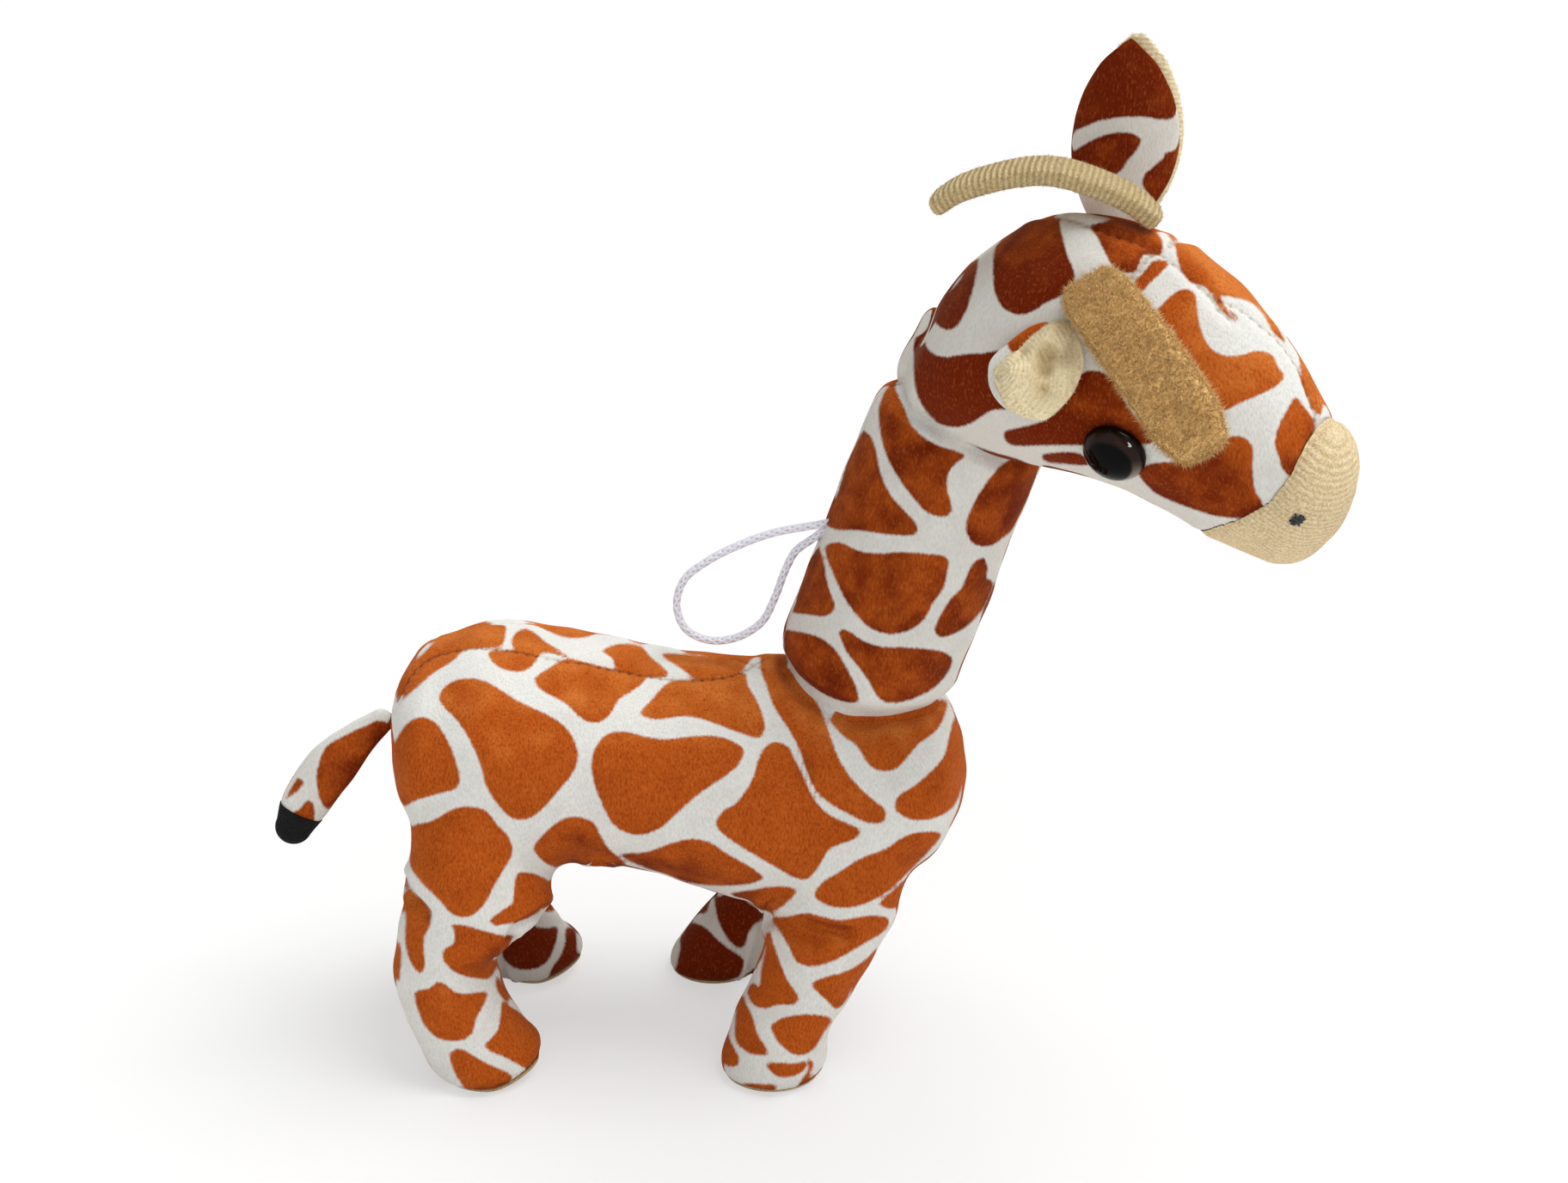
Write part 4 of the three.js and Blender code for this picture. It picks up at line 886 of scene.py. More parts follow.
def seen_print(vertices, outlines):
    """The print that the photograph shows, in millimetres from a patch's edge, and which patch it is."""
    pixels = to_pixel(vertices)
    field = np.full(len(vertices), -PRINT_REACH)
    owner = np.full(len(vertices), -1)
    margin = PRINT_REACH / PIXEL
    for k, outline in enumerate(outlines):
        outline = np.array(outline, float).reshape(-1, 2)
        low, high = outline.min(0) - margin, outline.max(0) + margin
        near = np.nonzero(((pixels > low) & (pixels < high)).all(1))[0]
        value = np.clip(signed_distance(pixels[near], outline) * PIXEL, -PRINT_REACH, PRINT_REACH)
        better = value > field[near]
        field[near[better]] = value[better]
        owner[near[better & (value > 0)]] = k
    return field, owner


CELL_SOFTNESS, CELL_WOBBLE = 1.3, 0.35
AT_A_TIME = 4000


def hidden_print(vertices, seeds, gap):
    """The pattern carried on where the photograph doesn't show it: cells round seeds, with soft corners."""
    field = np.empty(len(vertices))
    for start in range(0, len(vertices), AT_A_TIME):
        part = vertices[start : start + AT_A_TIME]
        square = ((part[:, None] - seeds[None]) ** 2).sum(-1)
        first = square.argmin(1)
        span = np.sqrt(((seeds[first][:, None] - seeds[None]) ** 2).sum(-1))
        span[span == 0] = np.inf
        edge = (square - square.min(1)[:, None]) / (2 * span)
        edge[np.isnan(edge)] = np.inf
        edge[np.arange(len(part)), first] = np.inf
        least = edge.min(1)
        crowd = np.exp(-(edge - least[:, None]) / CELL_SOFTNESS).sum(1)
        field[start : start + AT_A_TIME] = least - CELL_SOFTNESS * np.log(crowd)
    x, y, z = vertices.T
    wobble = np.sin(x * 0.31 + y * 0.17) + np.sin(y * 0.37 + z * 0.23 + 1) + np.sin(z * 0.29 - x * 0.19 + 2)
    return np.clip(field - gap / 2 + wobble * CELL_WOBBLE, -PRINT_REACH, PRINT_REACH)


# What counts as seen: how squarely it faces the camera, and from how far off the skin the rays start
FACING_LEAST, OFF_SKIN = 0.12, 1.5
PATCH_LEAST, SEED_TRIES = 8, 6000


def giraffe_print(vertices, faces, edges, groups, spacing, occluders, gap):
    """groups: (mask, outlines) pairs, each patch list only for its own vertices."""
    normals = normals_of(vertices, faces)
    to_camera = unit(CAMERA_AT - vertices)
    facing = (normals * to_camera).sum(1)
    seen = facing > FACING_LEAST
    for i in np.nonzero(seen)[0]:
        origin = Vector(vertices[i] + normals[i] * OFF_SKIN)
        hits = [tree.ray_cast(origin, Vector(to_camera[i]))[3] for tree in occluders]
        if any(h is not None and h > NEAR_COVER for h in hits):
            seen[i] = False
    field = np.full(len(vertices), -PRINT_REACH)
    seeds = []
    for mask, outlines in groups:
        index = np.nonzero(mask)[0]
        values, owner = seen_print(vertices[index], outlines)
        field[index] = values
        for k in range(len(outlines)):
            held = index[(owner == k) & seen[index]]
            if len(held) > PATCH_LEAST:
                seeds.append(vertices[held].mean(0))
    weight = relaxed(seen.astype(float), edges, 0.6, 6)
    hidden = np.nonzero(weight < 0.5)[0]
    for i in random.permutation(hidden)[:SEED_TRIES]:
        reach = spacing[i] if np.ndim(spacing) else spacing
        if not seeds or ((np.array(seeds) - vertices[i]) ** 2).sum(1).min() > reach**2:
            seeds.append(vertices[i])
    carried = hidden_print(vertices, np.array(seeds), gap)
    return weight * field + (1 - weight) * carried


# Size of the pattern's cells and of the white between them, where the photograph doesn't show them
CELLS = {"neck": (21, 4.2), "head": (21, 4.0), "far_ear": (15, 3.6), "near_ear": (15, 3.6), "tail": (13, 3.4)}


def printed(vertices, faces, name, occluders):
    groups = [(np.ones(len(vertices), bool), PRINT[name])]
    return giraffe_print(vertices, faces, edges_of(faces), groups, CELLS[name][0], occluders, CELLS[name][1])


SEAM_STEPS = 360
UNSTITCHED = -STITCH_PITCH / 4
NO_SEAM = 99


def seam_line(pixels, trees):
    """A seam drawn in the photograph, cast onto the surface that it lies on."""
    found = []
    for pixel in spline(np.array(pixels, float), np.linspace(0, 1, SEAM_STEPS)):
        hits = [tree.ray_cast(Vector(CAMERA_AT), pixel_ray(pixel)) for tree in trees]
        hits = [h for h in hits if h[0] is not None]
        if hits:
            found.append(min(hits, key=lambda h: h[3])[0])
    return np.array(found)


def seam_field(vertices, lines):
    """Each vertex's distance to the nearest line, and its place along that line."""
    steps = [np.linalg.norm(np.diff(line, axis=0), axis=1) for line in lines]
    along = np.concatenate([np.concatenate([[0], np.cumsum(s)]) for s in steps])
    points = np.vstack(lines)
    tree = KDTree(len(points))
    for i, p in enumerate(points):
        tree.insert(Vector(p), i)
    tree.balance()
    found = [tree.find(Vector(v)) for v in vertices]
    return np.array([f[2] for f in found]), along[[f[1] for f in found]]


SWELL_FROM_SEAM, SWELL_WIDTH = 3.2, 1.8


def grooved(vertices, faces, distance, depth=0.7, width=1.3, swell=0.35, place=None):
    """Cloth pulled in along a seam, deeper at each stitch, and standing a little prouder beside it."""
    pull = 1 if place is None else 0.8 + 0.35 * np.sin(2 * np.pi * place / STITCH_PITCH)
    profile = -depth * pull * np.exp(-((distance / width) ** 2))
    profile += swell * np.exp(-(((distance - SWELL_FROM_SEAM) / SWELL_WIDTH) ** 2))
    return vertices + normals_of(vertices, faces) * profile[:, None]


def uneven(vertices, faces, depth):
    """Stuffing is never quite even: soft dents, a fingertip across."""
    x, y, z = vertices.T
    wave = np.sin(x * 0.23 + z * 0.11) + np.sin(z * 0.27 - y * 0.13 + 2) + np.sin(y * 0.25 + x * 0.09 + 4)
    wave += 0.6 * np.sin(x * 0.47 - z * 0.41 + 1) + 0.6 * np.sin(z * 0.53 + y * 0.37 + 3)
    return vertices + normals_of(vertices, faces) * (depth * wave / 3)[:, None]


def painted_shade_of(vertices, faces, base):
    """Painted light and shade: the cloth is painted lighter where it faces up and darker where it faces down,
    as the light falls from above; base sets how dark the piece is painted overall.
    """
    up = normals_of(vertices, faces)[:, 2]
    return base - 0.3 * step(0.3, 1.0, up) + 0.35 * step(0.0, -0.9, up)


# Body: torso and legs as one skin, cut where each leg starts to bend

LEG_TILT = math.radians(30)
LEG_PLANE_REACH = 31.0
MIDDLE = -10
VOXEL, ON_TORSO = 1.1, 3
JUNCTION, JUNCTION_SOFTNESS, JUNCTION_ROUNDS = (9, 1), 0.75, 70
BODY_CELL, LEG_CELL, BODY_CELL_GAP = 27, 17, 4.2
SOLE_TOP = 1.4
BELLY_SAG, BELLY_LOW = 4.5, -2
FOOT_ROUND, FOOT_INSET, FOOT_TOP, TOE_LIFT = 4.5, 0.6, 30, 3.5


def soft_foot(points):
    """The feet's lower edges are round, and a hind toe is lifted a little."""
    points = points.copy()
    for name, (_, form) in legs.items():
        centre = form.frame(1.0)[0]
        offset = points[:, :2] - centre[:2]
        reach = np.linalg.norm(offset, axis=1)
        own = (reach < FOOT_LENGTH) & (points[:, 2] < FOOT_TOP)
        own &= (points[:, 1] < ORIGIN[1]) == name.startswith("near")
        down = np.clip(1 - (points[:, 2] - SOLE_TOP) / FOOT_ROUND, 0, 1)
        inset = FOOT_ROUND * (1 - np.sqrt(np.clip(1 - down**2, 0, 1))) * FOOT_INSET
        shrink = 1 - inset / np.maximum(reach, 4)
        points[own, :2] = (centre[:2] + offset * shrink[:, None])[own]
        if name.endswith("hind"):
            lift = TOE_LIFT * step(0, 15, offset[:, 0]) * step(26, 4, points[:, 2])
            points[own, 2] += lift[own]
    return points


def leg_plane(name):
    side = -1 if name.startswith("near") else 1
    along = 0.225 if name.endswith("front") else -0.36
    rise = 0.06 if name.endswith("front") else 0.215
    direction = np.array([0, side * math.sin(LEG_TILT), -math.cos(LEG_TILT)])
    centre = torso_place(along, 0, rise)
    return centre + direction * LEG_PLANE_REACH, direction


def own_quarter(name, points):
    """Which points lie in the quarter of the body that a leg is at."""
    near, front = points[:, 1] < ORIGIN[1], points[:, 0] > ORIGIN[0] + MIDDLE
    return (near == name.startswith("near")) & (front == name.endswith("front"))


def in_leg(name, points):
    point, direction = leg_plane(name)
    return own_quarter(name, points) & ((points - point) @ direction > 0)


body_parts = [torso.mesh(70, 110)] + [form.mesh(46, 72) for _, form in legs.values()]
vertices, faces = remeshed(*joined(*body_parts), VOXEL)
edges = edges_of(faces)
torso_tree = tree_of(*body_parts[0])
leg_trees = [tree_of(*part) for part in body_parts[1:]]
to_torso = nearest_distance(torso_tree, vertices)
to_leg = np.min([nearest_distance(tree, vertices) for tree in leg_trees], 0)
junction = step(*JUNCTION, np.maximum(to_torso, to_leg))
vertices = relaxed(vertices, edges, 0.4, 2)
vertices = relaxed(vertices, edges, JUNCTION_SOFTNESS * junction, JUNCTION_ROUNDS)
vertices[:, 2] = np.maximum(vertices[:, 2], SOLE_TOP)
vertices = uneven(vertices, faces, 0.5)
vertices = soft_foot(vertices)
under = step(0.2, -0.5, normals_of(vertices, faces)[:, 2]) * step(5, 1, to_torso)
vertices[:, 2] -= BELLY_SAG * under * np.exp(-(((vertices[:, 0] - BELLY_LOW) / 16) ** 2))
body_tree = tree_of(vertices, faces)
neck_tree = tree_of(*neck.mesh(50, 90))

near_seam = seam_line(GUSSET_SEAM, [body_tree])
mirror = near_seam * [1, -1, 1] + [0, 2 * ORIGIN[1], 0]
far_seam = np.array([body_tree.find_nearest(Vector(p))[0] for p in mirror])
seam, place = seam_field(vertices, [near_seam, far_seam])
below = (normals_of(vertices, faces)[:, 2] < -0.3) & (to_torso < ON_TORSO)
belly = np.where(below, np.abs(vertices[:, 1] - ORIGIN[1]), NO_SEAM)
place = np.where(belly < seam, vertices[:, 0], place)
seam = np.minimum(seam, belly)
vertices = grooved(vertices, faces, seam, place=place)
creases, _ = seam_field(vertices, [seam_line(line, [body_tree]) for line in CREASES])
fold, _ = seam_field(vertices, [seam_line(SHOULDER_FOLD, [body_tree])])
vertices = grooved(vertices, faces, creases, depth=2.2, width=2.2, swell=0.9)
vertices = grooved(vertices, faces, fold, depth=1.8, width=5.5, swell=0)
to_neck = nearest_distance(neck_tree, vertices)
# The cloth bulges round the neck's root and dips under it
swell = 0.6 * np.exp(-(((to_neck - 4.5) / 3) ** 2)) - 1.2 * step(2.5, 0.2, to_neck)
vertices = vertices + normals_of(vertices, faces) * (swell * (to_torso < ON_TORSO))[:, None]

is_leg = {name: in_leg(name, vertices) for name in legs}
far_legs = is_leg["far_hind"] | is_leg["far_front"]
any_leg = far_legs | is_leg["near_hind"] | is_leg["near_front"]
head_shell = head.mesh(90, 120)
head_tree = tree_of(from_head(head_shell[0]), head_shell[1])
groups = [(~far_legs, PRINT["body"])] + [(is_leg[name], PRINT[name]) for name in ("far_hind", "far_front")]
cell = np.where(any_leg, LEG_CELL, BODY_CELL)
body_print = giraffe_print(
    vertices, faces, edges, groups, cell, [body_tree, neck_tree, head_tree], BODY_CELL_GAP
)


def cut_apart(vertices, faces, layers):
    """The skin as the torso's piece and one for each leg, cut along each leg's plane."""
    whole = new_object("skin", vertices, faces, layers)
    skin = bmesh.new()
    skin.from_mesh(whole.data)
    for name in legs:
        point, direction = leg_plane(name)
        centres = np.array([f.calc_center_median() for f in skin.faces]) / MM
        chosen = [f for f, own in zip(skin.faces, own_quarter(name, centres)) if own]
        geometry = list({v for f in chosen for v in f.verts}) + list({e for f in chosen for e in f.edges})
        bmesh.ops.bisect_plane(
            skin, geom=geometry + chosen, plane_co=Vector(point * MM), plane_no=Vector(direction), dist=1e-7
        )
    skin.to_mesh(whole.data)
    skin.free()
    coordinates, polygons = arrays(whole.data)
    values = {}
    for label in layers:
        array = np.zeros(len(coordinates), np.float32)
        whole.data.attributes[label].data.foreach_get("value", array)
        values[label] = array
    bpy.data.objects.remove(whole)
    centres = np.array([coordinates[list(p)].mean(0) for p in polygons])
    owner = np.zeros(len(polygons), int)
    for k, name in enumerate(legs, 1):
        owner[in_leg(name, centres)] = k
    groups = [[polygons[i] for i in np.nonzero(owner == k)[0]] for k in range(len(legs) + 1)]
    return [part_of(coordinates, values, chosen) for chosen in groups]


# Body pieces

# Painted shade: the torso and legs painted lighter on top and darker underneath, and the far legs painted
# darker still, as they stand in the body's shade
nap = painted_shade_of(vertices, faces, 0.52) + 0.55 * relaxed(far_legs.astype(float), edges, 0.6, 25)
under_neck = to_neck + 0.4 < seam
layers = {
    "print": body_print, "nap": nap, "seam": np.minimum(seam, to_neck + 0.4),
    "place": np.where(under_neck, UNSTITCHED, place),
}
cut = cut_apart(vertices, faces, layers)
torso_v, torso_f, torso_layers = cut[0]
piece(
    "torso_plush", (torso_v, torso_f), torso_layers, PLUSH, "torso",
    ["torso_near_panel", "torso_far_panel", "back_gusset", "torso_stuffing"],
)
for (name, (hip, form)), (leg_v, leg_f, leg_layers) in zip(legs.items(), cut[1:]):
    made = piece(
        name + "_leg_plush", (leg_v, leg_f), leg_layers, PLUSH, None,
        [name + "_leg_cover", name + "_leg_stuffing"],
    )
    point, direction = leg_plane(name)
    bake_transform(made)


# Soles: a brushed cloth slab in each foot, its edge just showing


# Height, and how far inside the foot's edge
SOLE_RINGS = [(0, 3.8), (0.2, 2.9), (0.7, 2.3), (1.3, 2.3), (SOLE_TOP, 2.8)]


def sole_shape(form, lifted):
    rings, sides = [], 72
    for height, inset in SOLE_RINGS:
        rim = form.points(np.full(sides, 0.99), np.arange(sides) * 360 / sides)
        middle = rim.mean(0)
        out = rim - middle
        ring = middle + out * (1 - inset / np.linalg.norm(out, axis=1))[:, None]
        ring[:, 2] = height
        rings.append(ring)
    middle = rings[0].mean(0)
    bottom, top = middle.copy(), middle.copy()
    bottom[2], top[2] = 0, SOLE_TOP
    vertices = np.vstack([bottom[None], *rings, top[None]])
    if lifted:
        vertices[:, 2] += TOE_LIFT * step(0, 15, vertices[:, 0] - middle[0])
    return vertices, flipped(poled_faces(len(rings), sides))


for name, (hip, form) in legs.items():
    shape = sole_shape(form, name.endswith("hind"))
    piece(name + "_sole_cloth", shape, {}, SOLE_CLOTH, name + "_leg", [name + "_sole"])


# Neck: one tube, in two pieces, split part way up

NECK_CUT = 0.56
vertices, faces = neck.mesh(110, 150)
vertices = uneven(vertices, faces, 0.35)
along = (vertices - neck_pivot) @ neck_ahead
body_gap = nearest_distance(body_tree, vertices)
head_gap = nearest_distance(head_tree, vertices)
# The tube is pinched where it meets the body and the head
pinch = 1.4 * step(6.5, 0.3, body_gap) * (along < 40) + step(4.0, 0.3, head_gap) * (along > 40)
neck_print = printed(vertices, faces, "neck", [body_tree, head_tree, neck_tree])
off_axis = (vertices - neck_pivot) @ neck_back != 0
neck_seam = np.where(off_axis, np.abs(vertices[:, 1] - ORIGIN[1]), NO_SEAM)
vertices = grooved(vertices, faces, neck_seam, depth=0.5, width=1.1, swell=0.2, place=along)
vertices = vertices - normals_of(vertices, faces) * (1.3 * pinch)[:, None]
end_gap = np.minimum(body_gap, head_gap) + 0.4
# Painted shade: the neck is painted darker than the torso, as its upright sides catch less light
layers = {
    "print": neck_print, "nap": painted_shade_of(vertices, faces, 0.78), "seam": np.minimum(neck_seam, end_gap),
    "place": np.where(end_gap < neck_seam, UNSTITCHED, along),
}


def split_along(vertices, faces, layers, measure):
    """A skin in two: where the measure is below zero, and the rest."""
    keep = [], []
    for face in faces:
        keep[int(measure[list(face)].mean() > 0)].append(face)
    return [part_of(vertices, layers, chosen) for chosen in keep]


low_neck, high_neck = split_along(vertices, faces, layers, along - NECK_CUT * NECK_LENGTH)
low_bend, high_bend = (16, 42), (NECK_CUT * NECK_LENGTH + 2, 70)
for name, (v, f, layers), replaced, bodies, bend in (
    ("neck_plush", low_neck, ["neck_cover", "neck_stuffing"], ("torso", "neck"), low_bend),
    ("nape_plush", high_neck, (), ("neck", "head"), high_bend),
):
    made = piece(name, (v, f), layers, PLUSH, None, replaced)
    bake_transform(made)


# Head: a printed skin to the muzzle seam, and the knitted muzzle

EYE_SEAT, NOSTRIL_SEAT = (0.69, -16.5), (1.3, 8)
FAR_BACK_DENT = 1.5
# Where the back of the head is flatter, in pixels, by how much and how far round
BACK_OF_HEAD, BACK_IN, BACK_PIXELS = (1054, 378), 1.9, 36
EYE_HOLLOW, EYE_HOLLOW_RADIUS = 0.9, 8.5
# The muzzle's seam in the head's frame: height, and how far along the head
MUZZLE_EDGE = [(2, 65), (8.8, 70), (14.3, 74.8), (20.9, 79.2), (27, 80.4), (34, 79.5)]
eye_seats = {label: head_seat(*EYE_SEAT, side) for label, side in (("far", 1), ("near", -1))}

vertices, faces = head.mesh(150, 170, 22)
# Each eye is pulled a little into the stuffing
for point, normal in eye_seats.values():
    offset = vertices - point
    out = np.linalg.norm(offset - np.outer(offset @ normal, normal), axis=1)
    side = offset @ normal > -8
    hollow = EYE_HOLLOW * np.exp(-((out / EYE_HOLLOW_RADIUS) ** 2))
    vertices = vertices - np.outer(np.where(side, hollow, 0), normal)
x, y, z = vertices.T
flatter = FAR_BACK_DENT * step(-4, 8, y) * step(40, 12, x) * step(-12, 14, z)
vertices = vertices - normals_of(vertices, faces) * flatter[:, None]
world = from_head(vertices)
toward = np.linalg.norm(to_pixel(world) - BACK_OF_HEAD, axis=1)
world[:, 0] += BACK_IN * np.exp(-((toward / BACK_PIXELS) ** 2))
world = uneven(world, faces, 0.3)
crown, dart, tuck = (seam_line(line, [head_tree]) for line in (CROWN_SEAM, DART_SEAM, TUCK_SEAM))
far_dart = from_head(to_head(dart) * [1, -1, 1])
head_seam, place = seam_field(world, [crown, dart, tuck, far_dart])
under = (vertices[:, 2] < 20) & (np.abs(vertices[:, 1]) < head_seam)
place = np.where(under, vertices[:, 0], place)
head_seam = np.where(under, np.abs(vertices[:, 1]), head_seam)
world = grooved(world, faces, head_seam, depth=0.8, width=1.2, swell=0.3, place=place)
heights, reaches = np.array(MUZZLE_EDGE).T
muzzle_edge = vertices[:, 0] - np.interp(vertices[:, 2], heights, reaches)
ahead_of = np.array([muzzle_edge[list(f)].mean() > 0 for f in faces])
front = {i for f, ahead in zip(faces, ahead_of) if ahead for i in f}
shared = sorted(front & {i for f, ahead in zip(faces, ahead_of) if not ahead for i in f})
world[shared] -= np.outer(muzzle_edge[shared], head_rotation[:, 0])
world = grooved(world, faces, np.abs(muzzle_edge), depth=0.6, width=1, swell=0)
head_print = printed(world, faces, "head", [head_tree])
neck_gap = nearest_distance(neck_tree, world) + 0.4
place = np.where(neck_gap < head_seam, UNSTITCHED, place)
head_seam = np.minimum(head_seam, neck_gap)
# Painted light and shade on the head: darker at the back and on the near side, lighter towards the face, and
# lighter still on the crown's far side as a painted highlight
forward = step(18, 52, vertices[:, 0])
crown_side = step(-2, 6, vertices[:, 1]) + step(28, 44, vertices[:, 2]) * step(36, 60, vertices[:, 0])
head_painted_shade = painted_shade_of(world, faces, 1.05 - 0.35 * forward - 0.45 * np.minimum(crown_side, 1))
ribs = vertices[:, 0] * 0.35 + vertices[:, 2] * 0.93
layers = {
    "print": head_print, "nap": head_painted_shade, "seam": np.minimum(head_seam, np.abs(muzzle_edge) + 0.2),
    "place": place, "ribs": ribs,
}
skin, muzzle = split_along(world, faces, layers, muzzle_edge)
piece(
    "head_plush", skin[:2], skin[2], PLUSH, "head", ["head_near_panel", "head_far_panel", "head_stuffing"],
)
muzzle_v = muzzle[0] + normals_of(muzzle[0], muzzle[1]) * 0.35
piece("muzzle_knit", (muzzle_v, muzzle[1]), muzzle[2], MUZZLE_KNIT, "head", ["muzzle_cover"])


# Eyes and nostrils


def eye_shape(point, normal):
    radius, wall, steps, sides = EYE_DIAMETER / 2, 0.25, 24, 64
    heights = [(radius * 0.98, -0.6), (radius, -0.2), (radius, wall)]
    for i in range(1, steps + 1):
        angle = math.pi / 2 * i / steps
        heights.append((radius * math.cos(angle), wall + (PUPIL_TOP + EYE_HEIGHT - wall) * math.sin(angle)))
    x = unit(np.cross(normal, [0.0, 0.3, 1]))
    y = np.cross(normal, x)
    angle = np.arange(sides) * 2 * np.pi / sides
    circle = np.cos(angle)[:, None] * x + np.sin(angle)[:, None] * y
    rings = [point + normal * h + r * circle for r, h in heights[:-1]]
    vertices = np.vstack([*rings, (point + normal * heights[-1][1])[None]])
    rim = np.repeat([r / radius for r, _ in heights[:-1]], sides).tolist() + [0]
    last, top = (len(rings) - 1) * sides, len(vertices) - 1
    faces = ring_faces(len(rings), sides, closed=False)
    faces += [(last + j, last + (j + 1) % sides, top) for j in range(sides)]
    world = from_head(vertices)
    # How far below the eye's middle: the material paints the rim lighter there, as painted light
    low = (world[:, 2].mean() - world[:, 2]) / radius
    return world, faces, {"rim": rim, "low": low}


for label, (point, normal) in eye_seats.items():
    *shape, layers = eye_shape(point, normal)
    piece(label + "_eye", shape, layers, EYE, "head", [label + "_eye_lens"])
    for node, material in (("_eye_pupil_and_shank", BLACK), ("_eye_lock_washer", WHITE)):
        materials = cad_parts[label + node].data.materials
        materials.clear()
        materials.append(material)


def tube(path, radius, sides):
    ahead = unit(np.gradient(path, axis=0))
    side = unit(np.cross(ahead, [0.31, 0.2, 0.93]))
    up = np.cross(side, ahead)
    angle = np.arange(sides) * 2 * np.pi / sides
    circle = np.cos(angle)[:, None] * side[:, None] + np.sin(angle)[:, None] * up[:, None]
    rings = path[:, None] + radius[:, None, None] * circle
    return rings.reshape(-1, 3), flipped(ring_faces(len(path), sides))


# Turn in degrees, reach and height of each strand
NOSTRIL_STRANDS = [(20, 1.7, 0.35), (75, 1.4, 0.5), (128, 1.6, 0.42), (-12, 1.3, 0.62), (50, 1.5, 0.7)]
THREAD_RADIUS = 0.32


def stitch_shape(side):
    """A few turns of dark thread pulled through the muzzle in a small cross."""
    point, normal = head_seat(*NOSTRIL_SEAT, side)
    x = unit(np.cross(normal, [0.0, 0.2, 1]))
    y = np.cross(normal, x)
    strands = []
    for turn, reach, lift in NOSTRIL_STRANDS:
        along = np.linspace(-1, 1, 13)
        direction = math.cos(math.radians(turn)) * x + math.sin(math.radians(turn)) * y
        path = point + np.outer(along * reach, direction) + np.outer(0.3 + lift * (1 - along**2), normal)
        strands.append(tube(path, THREAD_RADIUS * (1 - 0.35 * along**4), 8))
    vertices, faces = joined(*strands)
    return from_head(vertices), faces


for label, side in (("far", 1), ("near", -1)):
    piece(
        label + "_nostril_thread", stitch_shape(side), {}, THREAD, "head", [label + "_nostril_stitch"],
    )


# Horns: flat knitted bands

HORN_RINGS = {
    "far": [(0, 0.84), (0.12, 1), (0.5, 1.12), (0.88, 1.08), (1, 1)],
    "near": [(0, 0.8), (0.1, 0.94), (0.5, 0.97), (0.88, 0.95), (1, 0.74)],
}
HORNS = {
    "far": (1, (0.54, 79), 78, (-0.8, -0.24, 0.48), (-0.34, -0.36, -0.87)),
    "near": (-1, (0.55, 48), 36, (0.74, -0.66, 0.12), (0.27, 0.51, -0.82)),
}
knit_of = {"far": FAR_HORN_KNIT, "near": NEAR_HORN_KNIT}
HORN_PILE = {"far": (2500, 0.6, 1.0, 0.12), "near": (15000, 1.9, 1.1, 0.16)}
TUFT = 0.475
for label, (side, seat, turn, along, face) in HORNS.items():
    turn = math.radians(turn)
    rings = []
    for share, wide in HORN_RINGS[label]:
        x, z, _ = arc(HORN_LENGTH, turn, share)
        rings.append((np.array([x, 0, z]), HORN_THICKNESS / 2, HORN_WIDTH * wide / 2))
    form = Form(rings, HORN_THICKNESS / 2, HORN_THICKNESS / 2, power=0.5)
    v, f = form.mesh(90, 72, 8)
    flap = Flap(side, seat, HORN_THICKNESS / 2, along, face)
    ribs = np.arctan2(v[:, 0], HORN_LENGTH / turn - v[:, 2]) * HORN_LENGTH / turn
    shape, layers = pile((flap.place(v), f), {"ribs": ribs}, *HORN_PILE[label])
    # Painted shade: each fibre's root takes a rib trough's value, so it is painted darker than its tip
    if label == "near":
        layers["ribs"][len(v) :] = np.tile([-TUFT, -TUFT, -TUFT, TUFT], HORN_PILE[label][0])
    name = label + "_horn"
    piece(name + "_knit", shape, layers, knit_of[label], name, [name])


# Ears: a printed outer layer and a tan lining, cupped and bent

EAR_OUTLINE = [0.36, 0.66, 0.9, 1, 0.95, 0.78, 0.5, 0.14]
FAR_EAR_SEAT, FAR_EAR_CUP, FAR_EAR_TURN = (0.395, 40), 0.9, math.radians(12)
FAR_EAR_ALONG, FAR_EAR_FACE = (-0.24, 0.12, 0.95), (-0.24, 0.93, -0.27)
FAR_EAR_RIM, FAR_EAR_LINING_GROWS = [1.3, 0.3, 0], 1.1


